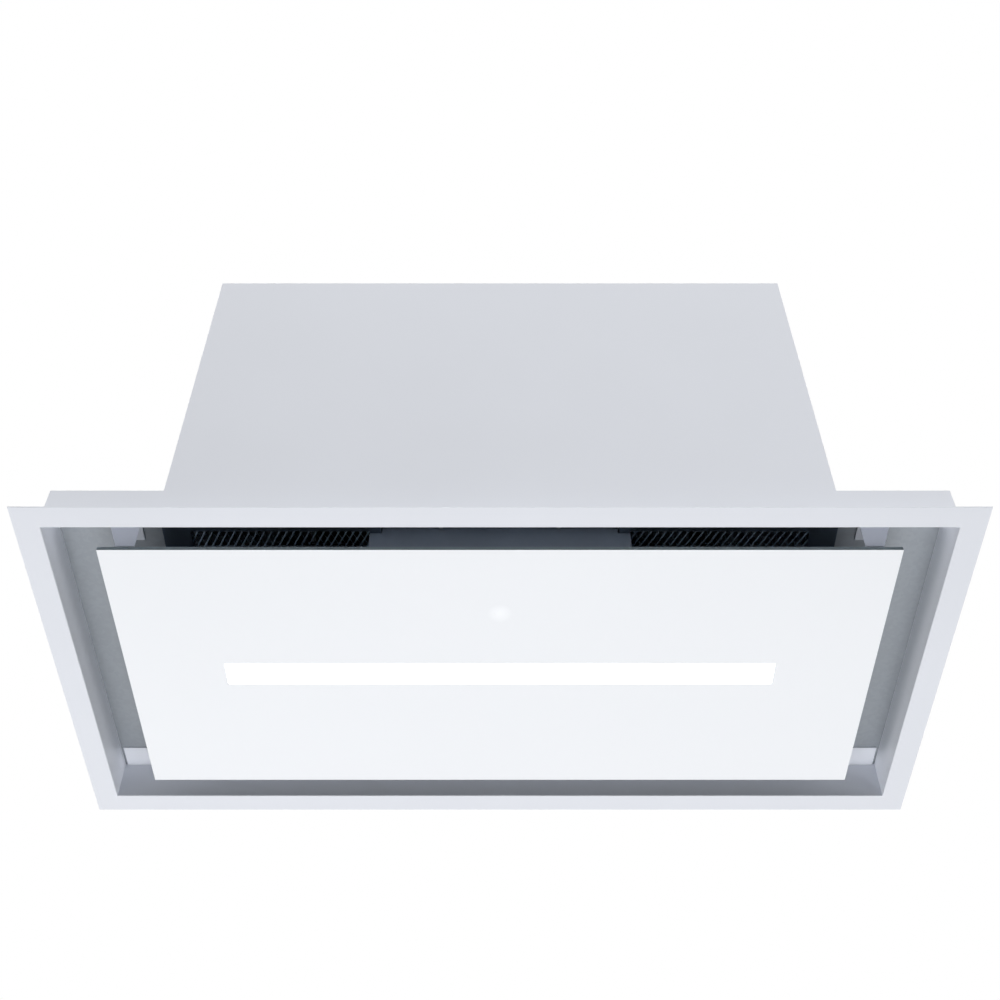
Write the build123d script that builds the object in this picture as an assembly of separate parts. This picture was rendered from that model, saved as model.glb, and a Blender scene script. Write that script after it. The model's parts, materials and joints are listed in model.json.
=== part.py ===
"""Ceiling range hood: a flush trim frame with a hinged glass light panel under a ducted motor box.

Millimetres. The origin is the centre of the trim frame's underside, +Z is up, +X is to the right
and -Y is the front, where the panel's catches are. The underside of the flange is the plane Z = 0.
"""

from build123d import *
from math import cos, radians, sin, tan
import os

# ---- Trim frame and outer casing -----------------------------------------------------------------
flange_width = 1000.0
flange_depth = 500.0
flange_sheet = 1.5
flange_overhang = 25.0
skin_rebate = 0.5
shelf_rise = 6.0
box_width = 710.0
box_top = 466.0
skin = 1.2
recess_height = 50.0
return_depth = 33.0
return_relief = 3.0
plate_sheet = 1.2
plate_fit = 0.2
past = 1.0  # how far a cutting body stands out past the face that it cuts

# ---- Hinged panel --------------------------------------------------------------------------------
panel_side_gap = 51.3
panel_end_gap = 31.3
panel_lift = 0.3
glass = 5.0
glass_corner = 1.0
tray_inset = 6.0
tray_sheet = 1.0
tray_rim = 4.5

# ---- Light and indicator in the panel ------------------------------------------------------------
light_length = 620.0
light_width = 35.0
light_corner = 3.0
light_clear = 0.3
lip_width = 4.0
lip_sheet = 1.2
channel_wall = 1.2
channel_margin = 2.0
channel_height = 9.5
board_sheet = 1.2
board_margin = 3.0
led_count = 30
led_side = 5.0
led_height = 0.9
indicator_radius = 6.0
indicator_forward = 97.0
indicator_collar = 3.0
sensor_board_side = 30.0
sensor_foot = 3.0

# ---- Panel hinges and catches --------------------------------------------------------------------
hinge_from_side = 26.0
hinge_inset = 11.0
hinge_height = 14.0
hinge_pin_radius = 2.5
hinge_ear = 2.0
hinge_ear_half = 6.0
hinge_knuckle = 22.0
hinge_side_play = 0.4
hinge_screw_spread = 8.0
hinge_pin_stub = 1.0
hinge_pin_head = 1.5
knuckle_foot = 18.0
knuckle_foot_sheet = 2.0
running_clear = 0.05
catch_from_side = 37.0
catch_foot = 20.0
catch_head = 34.0
catch_inset = 5.0
catch_height = 12.0
catch_sheet = 1.2
catch_tongue = 24.0
magnet_radius = 7.0
magnet_thickness = 4.0
strike_radius = 8.0
magnet_gap = 0.3

# ---- Filters -------------------------------------------------------------------------------------
filter_shelf_lap = 6.0
filter_end_room = 2.3
filter_thickness = 9.0
filter_sheet = 1.0
filter_rim = 12.0
filter_end_rim = 8.0
filter_grip_rim = 30.0
filter_gap = 1.0
filter_seat_gap = 0.3
mesh_sheet = 0.8
mesh_columns = 22
mesh_rows = 13
mesh_strand = 2.6
mesh_bridge = 3.6
mesh_lean = 26.0
grip_length = 70.0
grip_width = 12.0
grip_drop = 8.0
grip_sheet = 1.5
rivet_head_radius = 3.0
rivet_head_height = 1.0
filter_magnet_length = 20.0
filter_magnet_width = 6.0
filter_magnet_lap = 0.5
filter_magnet_from_end = 67.0

# ---- Centre housing with the electronics ---------------------------------------------------------
housing_half = 139.5
housing_set_forward = 27.0
housing_panel_room = 5.2
shoulder_drop = 8.0
housing_flange = 10.0
main_board_x = -60.0
main_board_width = 130.0
main_board_depth = 90.0
driver_x = 70.0
driver_width = 80.0
driver_depth = 150.0
driver_height = 20.0
driver_corner = 4.0
driver_tab = 12.0
driver_tab_width = 30.0
driver_tab_sheet = 2.0
post_height = 4.0
post_radius = 3.0
post_inset = 6.0
transformer_place = (-34.0, -12.5)
transformer_size = (32.0, 35.0, 18.0)
relay_count = 3
relay_pitch = 20.0
first_relay_place = (3.0, -18.0)
relay_size = (16.0, 28.0, 14.0)
smoothing_place = (10.0, 22.0)
smoothing_radius = 8.0
smoothing_height = 16.0
plugs_place = (-30.0, 29.0)
plugs_size = (40.0, 10.0, 11.0)

# ---- Blower --------------------------------------------------------------------------------------
scroll_room = 34.0
cutoff_radius = 100.0
spiral_step = 15.0
scroll_half = 90.0
scroll_sheet = 1.2
inlet_step = 6.0
inlet_lip = 8.0
outlet_flange_width = 14.0
cutoff_gap = 16.0
blade_depth = 16.0
wheel_side_gap = 10.0
impeller_ring = 3.0
impeller_disc = 2.0
impeller_disc_lap = 4.0
blade_count = 28
blade_sheet = 1.5
blade_margin = 1.0
blade_lean = 30.0
hub_radius = 14.0
hub_half = 10.0
shaft_radius = 5.0
shaft_end = 4.0
shaft_stub = 6.0
motor_radius = 45.0
motor_inner_x = 20.0
motor_bell = 12.0
motor_bell_step = 8.0
motor_boss = 4.0
motor_boss_radius = 12.0
motor_past_spider = 28.0
spider_stand = 22.0
spider_sheet = 3.0
spider_band = 4.0
spider_band_half = 8.0
spider_arm = 14.0
spider_arm_start = 1.0
spider_clear = 10.0
spider_leg_rise = 6.0
spider_toe = 10.0
spider_toe_sheet = 2.0
arm_count = 3

# ---- Duct outlet with its non-return flaps -------------------------------------------------------
spigot_radius = 74.5
spigot_wall = 2.5
spigot_height = 55.0
spigot_rim = 17.5
spigot_flange = 2.5
spigot_screw_count = 6
flap_height = 5.0
flap_sheet = 1.0
flap_clear = 1.5
flap_pin_radius = 1.5
flap_pin_inset = 0.5
knuckle_wall = 1.5
knuckle_clear = 0.3
knuckle_lap = 1.0
middle_knuckle_half = 18.0
knuckle_side_play = 0.5
knuckle_end_room = 20.5
seat_lip = 4.0
seat_sheet = 1.2

# ---- Hanging rails, mains entry and motor capacitor ----------------------------------------------
rail_from_side = 55.0
rail_width = 40.0
rail_height = 25.0
rail_sheet = 2.0
hanger_from_front = 90.0
hanger_hole_radius = 4.5
gland_from_rear = 100.0
gland_bore = 4.5
gland_thread_radius = 10.0
gland_hex = 24.0
gland_hex_height = 5.0
gland_dome_height = 14.0
gland_nut_height = 5.0
gland_thread_end = 2.0
terminal_from_rail = 15.0
terminal_width = 110.0
terminal_depth = 70.0
terminal_height = 42.0
terminal_wall = 2.0
terminal_lid = 2.0
terminal_clear = 0.3
terminal_rim = 5.0
strip_width = 16.0
strip_length = 54.0
strip_height = 18.0
terminal_count = 3
terminal_pitch = 17.0
terminal_hole_radius = 3.5
terminal_hole_depth = 10.0
capacitor_from_rail = 95.0
capacitor_y = 110.0
capacitor_radius = 20.0
capacitor_length = 70.0
capacitor_edge = 3.0
tab_offset = 7.0
tab_sheet = 1.0
tab_width = 6.0
tab_length = 9.0
strap_width = 14.0
strap_sheet = 1.0
strap_drop = 22.0
strap_foot = 8.0
strap_foot_width = 12.0

# ---- Fasteners -----------------------------------------------------------------------------------
screw_radius = 1.9
screw_head_radius = 3.8
screw_head_height = 2.2
screw_head_room = 1.0
screw_hole_clear = 0.1
screw_length = 6.0
screw_tip = 1.5

# ---- Worked out from the sizes above -------------------------------------------------------------
skin_foot = flange_sheet - skin_rebate
collar_width = flange_width - 2 * flange_overhang
collar_depth = flange_depth - 2 * flange_overhang
collar_top = recess_height + shelf_rise
opening_x = collar_width / 2 - skin - flange_sheet
opening_y = collar_depth / 2 - skin - flange_sheet
skin_x = collar_width / 2 - skin
skin_y = collar_depth / 2 - skin
box_x = box_width / 2
box_inside_x = box_x - skin
top_inside = box_top - skin
shelf_underside = collar_top - skin
panel_x = opening_x - panel_side_gap
panel_y = opening_y - panel_end_gap
glass_top = panel_lift + glass
tray_x = panel_x - tray_inset
tray_y = panel_y - tray_inset
tray_top = glass_top + tray_sheet
channel_x = light_length / 2 + lip_width + channel_margin + channel_wall
channel_y = light_width / 2 + lip_width + channel_margin + channel_wall
hinge_x = panel_x - hinge_from_side
hinge_y = panel_y - hinge_inset
hinge_hole = hinge_pin_radius + running_clear
ear_inner = hinge_knuckle / 2 + hinge_side_play
ear_outer = ear_inner + hinge_ear
catch_inner_x = panel_x - catch_from_side
catch_y = -(panel_y - catch_inset)
strike_sheet = catch_height - magnet_thickness - magnet_gap - tray_top
magnet_x = catch_inner_x + catch_foot / 2
magnet_y = catch_y + catch_sheet + catch_tongue / 2
filter_inner_x = housing_half - filter_rim
filter_outer_x = box_x + filter_shelf_lap
filter_half_length = opening_y - return_depth - filter_end_room
filter_magnet_y = filter_half_length - filter_magnet_from_end
shoulder_height = recess_height - shoulder_drop
housing_bottom = glass_top + channel_height + housing_panel_room
housing_front = filter_half_length - housing_flange
housing_rear = housing_front - housing_set_forward
filter_bottom = shoulder_height + filter_seat_gap
filter_top = filter_bottom + filter_thickness
neck_half = filter_inner_x - filter_gap
cutout_x = filter_outer_x + filter_gap
cutout_y = filter_half_length + filter_gap
mesh_inner_x = filter_inner_x + filter_rim
mesh_outer_x = filter_outer_x - filter_grip_rim
mesh_y = filter_half_length - filter_end_rim
grip_x = filter_outer_x - filter_grip_rim / 2
blower_y = -(cutoff_radius + 4 * spiral_step) / 2
blower_z = collar_top + scroll_room + cutoff_radius + 3 * spiral_step
outlet_y = -blower_y
impeller_radius = cutoff_radius - cutoff_gap
impeller_inner = impeller_radius - blade_depth
impeller_half = scroll_half - wheel_side_gap
inlet_radius = impeller_inner + inlet_step
spider_x = scroll_half + spider_stand
spider_reach = inlet_radius + spider_clear
motor_outer_x = spider_x + motor_past_spider
spigot_flange_radius = spigot_radius + spigot_rim
spigot_inside = spigot_radius - spigot_wall
flap_z = box_top + flap_height
flap_radius = spigot_inside - flap_clear
knuckle_radius = flap_pin_radius + knuckle_wall
side_knuckle_start = middle_knuckle_half + knuckle_side_play
side_knuckle_end = flap_radius - knuckle_end_room
rail_x = box_x - rail_from_side
hanger_y = flange_depth / 2 - hanger_from_front
gland_x = -(rail_x - rail_width / 2 - terminal_from_rail - terminal_width / 2)
gland_y = flange_depth / 2 - gland_from_rear
capacitor_x = rail_x - capacitor_from_rail
screw_hole = screw_radius + screw_hole_clear


def block(x0, x1, y0, y1, z0, z1):
    """A box between two opposite corners."""
    size = Box(x1 - x0, y1 - y0, z1 - z0)
    return Pos((x0 + x1) / 2, (y0 + y1) / 2, (z0 + z1) / 2) * size


def disc(x, y, z0, z1, radius):
    """An upright cylinder between two heights."""
    return Pos(x, y, (z0 + z1) / 2) * Cylinder(radius, z1 - z0)


def rod_x(x0, x1, y, z, radius):
    """A cylinder lying along X."""
    return Pos((x0 + x1) / 2, y, z) * Rot(0, 90, 0) * Cylinder(radius, x1 - x0)


def rod_y(x, y0, y1, z, radius):
    """A cylinder lying along Y."""
    return Pos(x, (y0 + y1) / 2, z) * Rot(90, 0, 0) * Cylinder(radius, y1 - y0)


def left_of(part):
    """The left-hand twin of a right-hand piece."""
    return mirror(part, about=Plane.YZ)


def standing_box(x, y, z0, size):
    """A box on the plane z0, centred over a point. Its size is width, depth and height."""
    width, depth, height = size
    return block(x - width / 2, x + width / 2, y - depth / 2, y + depth / 2, z0, z0 + height)


def rounded_slot(half_x, half_y, corner, z0, z1):
    """An upright prism with rounded vertical edges, centred on the Z axis."""
    outline = RectangleRounded(2 * half_x, 2 * half_y, corner)
    return Pos(0, 0, z0) * extrude(outline, z1 - z0)


def group(solids):
    """Separate solids that share one node."""
    return Compound(children=solids)


def pair(part):
    """A right-hand piece and its left-hand twin in one node."""
    return group([part, left_of(part)])


# ---- Trim frame and outer casing -----------------------------------------------------------------
def trim_frame():
    """Flange, the four recess walls and the folded-in returns of the two long walls."""
    wall_x = opening_x + flange_sheet
    wall_y = opening_y + flange_sheet
    flange = standing_box(0, 0, 0, (flange_width, flange_depth, flange_sheet))
    walls = block(-wall_x, wall_x, -wall_y, wall_y, 0, recess_height)
    hollow = block(-opening_x, opening_x, -opening_y, opening_y, -past, recess_height + past)
    rebate_outer = standing_box(0, 0, skin_foot, (collar_width, collar_depth, 2 * skin_rebate))
    rebate_inner = block(-wall_x, wall_x, -wall_y, wall_y, 0, recess_height)
    flange -= rebate_outer - rebate_inner
    frame = flange + walls - hollow
    return_x = opening_x - return_relief
    for side in (-1, 1):
        edge = sorted((side * (opening_y - return_depth), side * wall_y))
        frame += block(-return_x, return_x, *edge, recess_height - flange_sheet, recess_height)
    return frame


def long_skin():
    """The T-shaped front sheet: the collar's face and the motor box's face in one piece."""
    collar = block(-collar_width / 2, collar_width / 2, -collar_depth / 2, -skin_y, skin_foot, collar_top)
    stem = block(-box_x, box_x, -collar_depth / 2, -skin_y, skin_foot, box_top)
    return collar + stem


def collar_side():
    """The collar's short wall, folded over into the shelf beside the motor box."""
    wall = block(skin_x, collar_width / 2, -skin_y, skin_y, skin_foot, collar_top)
    shelf = block(box_x, collar_width / 2, -skin_y, skin_y, shelf_underside, collar_top)
    return wall + shelf


def box_side():
    """One short wall of the motor box."""
    return block(box_inside_x, box_x, -skin_y, skin_y, shelf_underside, top_inside)


def hanger_places():
    """Centres of the four hanging holes."""
    return [(x, y) for x in (-rail_x, rail_x) for y in (-hanger_y, hanger_y)]


def spigot_screw_places():
    """Centres of the screws round the duct spigot."""
    ring = (spigot_radius + spigot_flange_radius) / 2
    turns = [radians(360 * (i + 0.5) / spigot_screw_count) for i in range(spigot_screw_count)]
    return [(ring * cos(turn), ring * sin(turn)) for turn in turns]


def outlet_flange_size():
    """Half sizes of the blower's outlet flange."""
    return scroll_half + outlet_flange_width, outlet_y + outlet_flange_width


def outlet_screw_places():
    """Centres of the screws that hang the blower from the top plate."""
    half_x, half_y = outlet_flange_size()
    x = half_x - outlet_flange_width / 2
    y = half_y - outlet_flange_width / 2
    return [(sx * x, sy * y) for sx in (-1, 1) for sy in (-1, 1)]


def top_plate():
    """The motor box's lid, with the duct, hanging, gland and screw holes."""
    plate = block(-box_x, box_x, -skin_y, skin_y, top_inside, box_top)
    plate -= disc(0, 0, top_inside - past, box_top + past, spigot_inside)
    gland_hole = gland_thread_radius + screw_hole_clear
    plate -= disc(gland_x, gland_y, top_inside - past, box_top + past, gland_hole)
    for x, y in hanger_places():
        plate -= disc(x, y, top_inside - past, box_top + past, hanger_hole_radius)
    for x, y in spigot_screw_places() + outlet_screw_places():
        plate -= disc(x, y, top_inside - past, box_top + past, screw_hole)
    return plate


def ceiling_plate():
    """The plate that closes the recess, with a cut-out for each filter."""
    half_x = skin_x - plate_fit
    half_y = skin_y - plate_fit
    z1 = recess_height + plate_sheet
    plate = block(-half_x, half_x, -half_y, half_y, recess_height, z1)
    for side in (-1, 1):
        edge = sorted((side * neck_half, side * cutout_x))
        plate -= block(*edge, -cutout_y, cutout_y, recess_height - past, z1 + past)
    for x, y in hinge_screw_places() + catch_screw_places() + housing_screw_places():
        plate -= disc(x, y, recess_height - past, z1 + past, screw_hole)
    return plate


def hanger_rail():
    """A channel under the top plate that takes the load of the hanging rods."""
    x0, x1 = rail_x - rail_width / 2, rail_x + rail_width / 2
    z0 = top_inside - rail_height
    rail = block(x0, x1, -skin_y, skin_y, z0, top_inside)
    end = skin_y + past
    rail -= block(x0 + rail_sheet, x1 - rail_sheet, -end, end, z0 - past, top_inside - rail_sheet)
    for y in (-hanger_y, hanger_y):
        rail -= disc(rail_x, y, z0, top_inside + past, hanger_hole_radius)
    return rail


# ---- Hinged panel --------------------------------------------------------------------------------
def indicator_place():
    """Centre of the indicator, in front of the light."""
    return 0, -indicator_forward


def glass_panel():
    """The flush glass panel, with the light's slot and the indicator's hole."""
    panel = rounded_slot(panel_x, panel_y, glass_corner, panel_lift, glass_top)
    panel -= rounded_slot(light_length / 2, light_width / 2, light_corner, 0, glass_top + past)
    x, y = indicator_place()
    panel -= disc(x, y, 0, glass_top + past, indicator_radius)
    return panel


def panel_tray():
    """The sheet tray bonded to the glass, folded up at the front and both sides."""
    tray = block(-tray_x, tray_x, -tray_y, tray_y, glass_top, tray_top)
    rim_top = tray_top + tray_rim
    tray += block(-tray_x, tray_x, -tray_y, -tray_y + tray_sheet, glass_top, rim_top)
    for side in (-1, 1):
        edge = sorted((side * (tray_x - tray_sheet), side * tray_x))
        tray += block(*edge, -tray_y, tray_y, glass_top, rim_top)
    clear_x = channel_x + light_clear
    clear_y = channel_y + light_clear
    tray -= block(-clear_x, clear_x, -clear_y, clear_y, glass_top - past, tray_top + past)
    x, y = indicator_place()
    lens_clear = indicator_radius + indicator_collar + light_clear
    tray -= disc(x, y, glass_top - past, tray_top + past, lens_clear)
    return tray


def light_diffuser():
    """The opal strip: flush in the glass, with a lip that rests on its back."""
    half_x = light_length / 2 - light_clear
    half_y = light_width / 2 - light_clear
    face = rounded_slot(half_x, half_y, light_corner - light_clear, panel_lift, glass_top)
    lip_x = light_length / 2 + lip_width
    lip_y = light_width / 2 + lip_width
    return face + block(-lip_x, lip_x, -lip_y, lip_y, glass_top, glass_top + lip_sheet)


def light_channel():
    """The aluminium channel that covers the diffuser and cools the board."""
    z1 = glass_top + channel_height
    outer = block(-channel_x, channel_x, -channel_y, channel_y, glass_top, z1)
    inner_x = channel_x - channel_wall
    inner_y = channel_y - channel_wall
    return outer - block(-inner_x, inner_x, -inner_y, inner_y, glass_top - past, z1 - channel_wall)


def light_board():
    """The strip of circuit board under the channel's top."""
    z1 = glass_top + channel_height - channel_wall
    half_x = light_length / 2 - board_margin
    half_y = light_width / 2 - board_margin
    return block(-half_x, half_x, -half_y, half_y, z1 - board_sheet, z1)


def light_chips():
    """The light-emitting chips in one row on the board."""
    z1 = glass_top + channel_height - channel_wall - board_sheet
    pitch = (light_length - 2 * board_margin) / led_count
    half = led_side / 2
    chips = []
    for i in range(led_count):
        x = (i - (led_count - 1) / 2) * pitch
        chips.append(block(x - half, x + half, -half, half, z1 - led_height, z1))
    return group(chips)


def indicator_lens():
    """The small round lens of the sensor, flush in the glass, with its collar behind."""
    x, y = indicator_place()
    stem = disc(x, y, panel_lift, glass_top, indicator_radius - light_clear)
    return stem + disc(x, y, glass_top, tray_top, indicator_radius + indicator_collar)


def sensor_board():
    """The sensor's little board on two feet over the lens."""
    x, y = indicator_place()
    half = sensor_board_side / 2
    z0 = tray_top + sensor_foot
    board = block(x - half, x + half, y - half, y + half, z0, z0 + board_sheet)
    for side in (-1, 1):
        edge = sorted((x + side * (half - sensor_foot), x + side * half))
        board += block(*edge, y - half, y + half, tray_top, z0)
    return board


# ---- Panel hinges and catches --------------------------------------------------------------------
def hinge_screw_places():
    """Centres of the screws of both hinge brackets."""
    ahead = hinge_y - hinge_ear_half - screw_head_radius - screw_head_room
    spread = (-hinge_screw_spread, hinge_screw_spread)
    return [(side * (hinge_x + dx), ahead) for side in (-1, 1) for dx in spread]


def hinge_bracket():
    """Two ears on a plate under the ceiling plate. They hold the hinge pin."""
    y0, y1 = hinge_y - hinge_ear_half, hinge_y + hinge_ear_half
    z0 = recess_height - hinge_ear
    plate_y = y0 - 2 * (screw_head_radius + screw_head_room)
    bracket = block(hinge_x - ear_outer, hinge_x + ear_outer, plate_y, y1, z0, recess_height)
    for side in (-1, 1):
        edge = sorted((hinge_x + side * ear_inner, hinge_x + side * ear_outer))
        bracket += block(*edge, y0, y1, hinge_height, z0)
        bracket += rod_x(*edge, hinge_y, hinge_height, hinge_ear_half)
    reach = ear_outer + past
    bracket -= rod_x(hinge_x - reach, hinge_x + reach, hinge_y, hinge_height, hinge_hole)
    for x, y in hinge_screw_places():
        bracket -= disc(x, y, z0 - past, recess_height + past, screw_hole)
    return bracket


def hinge_pin():
    """The pin through both ears, with a head at its outer end."""
    x1 = hinge_x + ear_outer
    pin = rod_x(hinge_x - ear_outer - hinge_pin_stub, x1, hinge_y, hinge_height, hinge_pin_radius)
    head_radius = hinge_pin_radius + hinge_pin_head
    return pin + rod_x(x1, x1 + hinge_pin_head, hinge_y, hinge_height, head_radius)


def hinge_knuckle_block():
    """The panel's half of the hinge: a block on the tray that turns on the pin."""
    half = hinge_knuckle / 2
    y0, y1 = hinge_y - hinge_ear_half, hinge_y + hinge_ear_half
    knuckle = block(hinge_x - half, hinge_x + half, y0, y1, tray_top, hinge_height)
    knuckle += rod_x(hinge_x - half, hinge_x + half, hinge_y, hinge_height, hinge_ear_half)
    foot_top = tray_top + knuckle_foot_sheet
    knuckle += block(hinge_x - half, hinge_x + half, y0 - knuckle_foot, y0, tray_top, foot_top)
    reach = half + past
    return knuckle - rod_x(hinge_x - reach, hinge_x + reach, hinge_y, hinge_height, hinge_hole)


def catch_screw_places():
    """Centres of the screws of both catch brackets."""
    y = catch_y + catch_sheet + catch_tongue / 2
    return [(sx * (catch_inner_x + catch_head / 2), y) for sx in (-1, 1)]


def catch_bracket():
    """A tapered tongue that comes down over the panel's front corner to hold the magnet."""
    z0 = recess_height - catch_sheet
    x0 = catch_inner_x
    outline = Polyline(
        (x0, catch_height),
        (x0 + catch_foot, catch_height),
        (x0 + catch_head, recess_height),
        (x0, recess_height),
        close=True,
    )
    face = Plane.XZ * make_face(outline)
    bracket = Pos(0, catch_y + catch_sheet, 0) * extrude(face, catch_sheet)
    y0, y1 = catch_y + catch_sheet, catch_y + catch_sheet + catch_tongue
    bracket += block(x0, x0 + catch_head, y0, y1, z0, recess_height)
    bracket += block(x0, x0 + catch_foot, y0, y1, catch_height, catch_height + catch_sheet)
    screw_x, screw_y = catch_screw_places()[1]
    return bracket - disc(screw_x, screw_y, z0 - past, recess_height + past, screw_hole)


def catch_magnets():
    """The round magnets under the catch brackets."""
    z1 = catch_height
    z0 = z1 - magnet_thickness
    return group([disc(side * magnet_x, magnet_y, z0, z1, magnet_radius) for side in (-1, 1)])


def strike_plates():
    """The steel discs on the tray that the magnets hold."""
    z1 = tray_top + strike_sheet
    return group([disc(side * magnet_x, magnet_y, tray_top, z1, strike_radius) for side in (-1, 1)])


# ---- Filters -------------------------------------------------------------------------------------
def filter_frame():
    """A channel-section frame, wider at the outer edge where the grip is."""
    outer = block(
        filter_inner_x, filter_outer_x, -filter_half_length, filter_half_length, filter_bottom, filter_top
    )
    window = block(mesh_inner_x, mesh_outer_x, -mesh_y, mesh_y, filter_bottom - past, filter_top + past)
    core = block(
        filter_inner_x + filter_sheet,
        filter_outer_x - filter_sheet,
        -filter_half_length + filter_sheet,
        filter_half_length - filter_sheet,
        filter_bottom + filter_sheet,
        filter_top - filter_sheet,
    )
    frame = outer - window - core
    for y in grip_rivet_places():
        frame -= disc(grip_x, y, filter_bottom - past, filter_bottom + filter_sheet + past, screw_hole)
    return frame


def filter_mesh(z0, lean):
    """One sheet of expanded metal: rows of leaning gaps between thin strands."""
    lap = filter_rim / 2
    end = mesh_y + lap
    sheet = block(mesh_inner_x - lap, mesh_outer_x + lap, -end, end, z0, z0 + mesh_sheet)
    pitch_x = (mesh_outer_x - mesh_inner_x) / mesh_columns
    pitch_y = 2 * mesh_y / mesh_rows
    half_y = (pitch_y - mesh_bridge) / 2
    shift = half_y * tan(radians(lean))
    half_x = (pitch_x - mesh_strand) / 2
    corners = [
        (-half_x - shift, -half_y),
        (half_x - shift, -half_y),
        (half_x + shift, half_y),
        (-half_x + shift, half_y),
    ]
    outline = make_face(Polyline(*corners, close=True))
    gap = Pos(0, 0, z0 - past) * extrude(outline, mesh_sheet + 2 * past)
    gaps = []
    for column in range(mesh_columns):
        for row in range(mesh_rows):
            x = mesh_inner_x + (column + 0.5) * pitch_x
            y = -mesh_y + (row + 0.5) * pitch_y
            gaps.append(Pos(x, y, 0) * gap)
    return sheet - gaps


def filter_meshes():
    """The two sheets of expanded metal, leaning opposite ways, inside the frame's lips."""
    lower = filter_mesh(filter_bottom + filter_sheet, -mesh_lean)
    upper = filter_mesh(filter_top - filter_sheet - mesh_sheet, mesh_lean)
    return group([lower, upper])


def grip_rivet_places():
    """Where the grip is riveted to the filter frame."""
    return [-grip_length / 2 + grip_width / 2, grip_length / 2 - grip_width / 2]


def filter_grip():
    """A bent strip under the frame's wide edge, for two fingers."""
    x0, x1 = grip_x - grip_width / 2, grip_x + grip_width / 2
    z1 = filter_bottom
    z0 = z1 - grip_drop
    half = grip_length / 2
    strip = block(x0, x1, -half, half, z1 - grip_sheet, z1)
    inner = half - grip_width
    strip -= block(x0, x1, -inner, inner, z1 - grip_sheet - past, z1 + past)
    for side in (-1, 1):
        edge = sorted((side * (inner - grip_sheet), side * inner))
        strip += block(x0, x1, *edge, z0, z1)
    strip += block(x0, x1, -inner, inner, z0, z0 + grip_sheet)
    for y in grip_rivet_places():
        strip -= disc(grip_x, y, z0, z1 + past, screw_hole)
    return strip


def grip_rivets():
    """The rivets of one grip."""
    z0 = filter_bottom - grip_sheet
    z1 = filter_bottom + filter_sheet
    rivets = []
    for y in grip_rivet_places():
        head = disc(grip_x, y, z0 - rivet_head_height, z0, rivet_head_radius)
        tail = disc(grip_x, y, z1, z1 + rivet_head_height, rivet_head_radius)
        rivets.append(head + disc(grip_x, y, z0, z1, screw_radius) + tail)
    return rivets


def filter_magnets():
    """The bar magnets under the shelves that hold the filters' outer edges."""
    x0 = box_x - filter_magnet_lap
    z0 = filter_top + filter_seat_gap
    bars = []
    for side in (-1, 1):
        for y in (-filter_magnet_y, filter_magnet_y):
            edge = sorted((side * x0, side * (x0 + filter_magnet_width)))
            half = filter_magnet_length / 2
            bars.append(block(*edge, y - half, y + half, z0, shelf_underside))
    return group(bars)


# ---- Centre housing with the electronics ---------------------------------------------------------
def housing_screw_places():
    """Centres of the screws of the centre housing's end flanges."""
    front = -housing_front - housing_flange / 2
    rear = housing_rear + housing_flange / 2
    return [(x, y) for x in (-neck_half / 2, neck_half / 2) for y in (front, rear)]


def centre_housing():
    """A sheet tub under the middle of the ceiling plate. Its shoulders carry the filters."""
    y0, y1 = -housing_front, housing_rear
    tub = block(-housing_half, housing_half, y0, y1, housing_bottom, shoulder_height)
    tub += block(-neck_half, neck_half, y0, y1, shoulder_height, recess_height)
    inner = housing_half - skin
    neck = neck_half - skin
    tub -= block(-inner, inner, y0 + skin, y1 - skin, housing_bottom + skin, shoulder_height - skin)
    tub -= block(-neck, neck, y0 + skin, y1 - skin, housing_bottom + skin, recess_height + past)
    z0 = recess_height - skin
    for edge in ((y0 - housing_flange, y0), (y1, y1 + housing_flange)):
        tub += block(-neck_half, neck_half, *edge, z0, recess_height)
    for x, y in housing_screw_places():
        tub -= disc(x, y, z0 - past, recess_height + past, screw_hole)
    return tub


def main_board():
    """The control board on four posts, with its relays and transformer."""
    half_x, half_y = main_board_width / 2, main_board_depth / 2
    x = main_board_x
    floor = housing_bottom + skin
    z0 = floor + post_height
    z1 = z0 + board_sheet
    board = block(x - half_x, x + half_x, -half_y, half_y, z0, z1)
    for sx in (-1, 1):
        for sy in (-1, 1):
            post_x = x + sx * (half_x - post_inset)
            board += disc(post_x, sy * (half_y - post_inset), floor, z0, post_radius)
    board += standing_box(x + transformer_place[0], transformer_place[1], z1, transformer_size)
    board += standing_box(x + plugs_place[0], plugs_place[1], z1, plugs_size)
    for i in range(relay_count):
        relay_x = x + first_relay_place[0] + i * relay_pitch
        board += standing_box(relay_x, first_relay_place[1], z1, relay_size)
    smoothing_x = x + smoothing_place[0]
    board += disc(smoothing_x, smoothing_place[1], z1, z1 + smoothing_height, smoothing_radius)
    return board


def light_driver():
    """The light's power supply on the housing's floor."""
    floor = housing_bottom + skin
    half_x, half_y = driver_width / 2, driver_depth / 2
    case = block(driver_x - half_x, driver_x + half_x, -half_y, half_y, floor, floor + driver_height)
    case = fillet(case.edges().filter_by(Axis.Z), driver_corner)
    x0, x1 = driver_x - driver_tab_width / 2, driver_x + driver_tab_width / 2
    for side in (-1, 1):
        edge = sorted((side * half_y, side * (half_y + driver_tab)))
        case += block(x0, x1, *edge, floor, floor + driver_tab_sheet)
    return case


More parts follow.
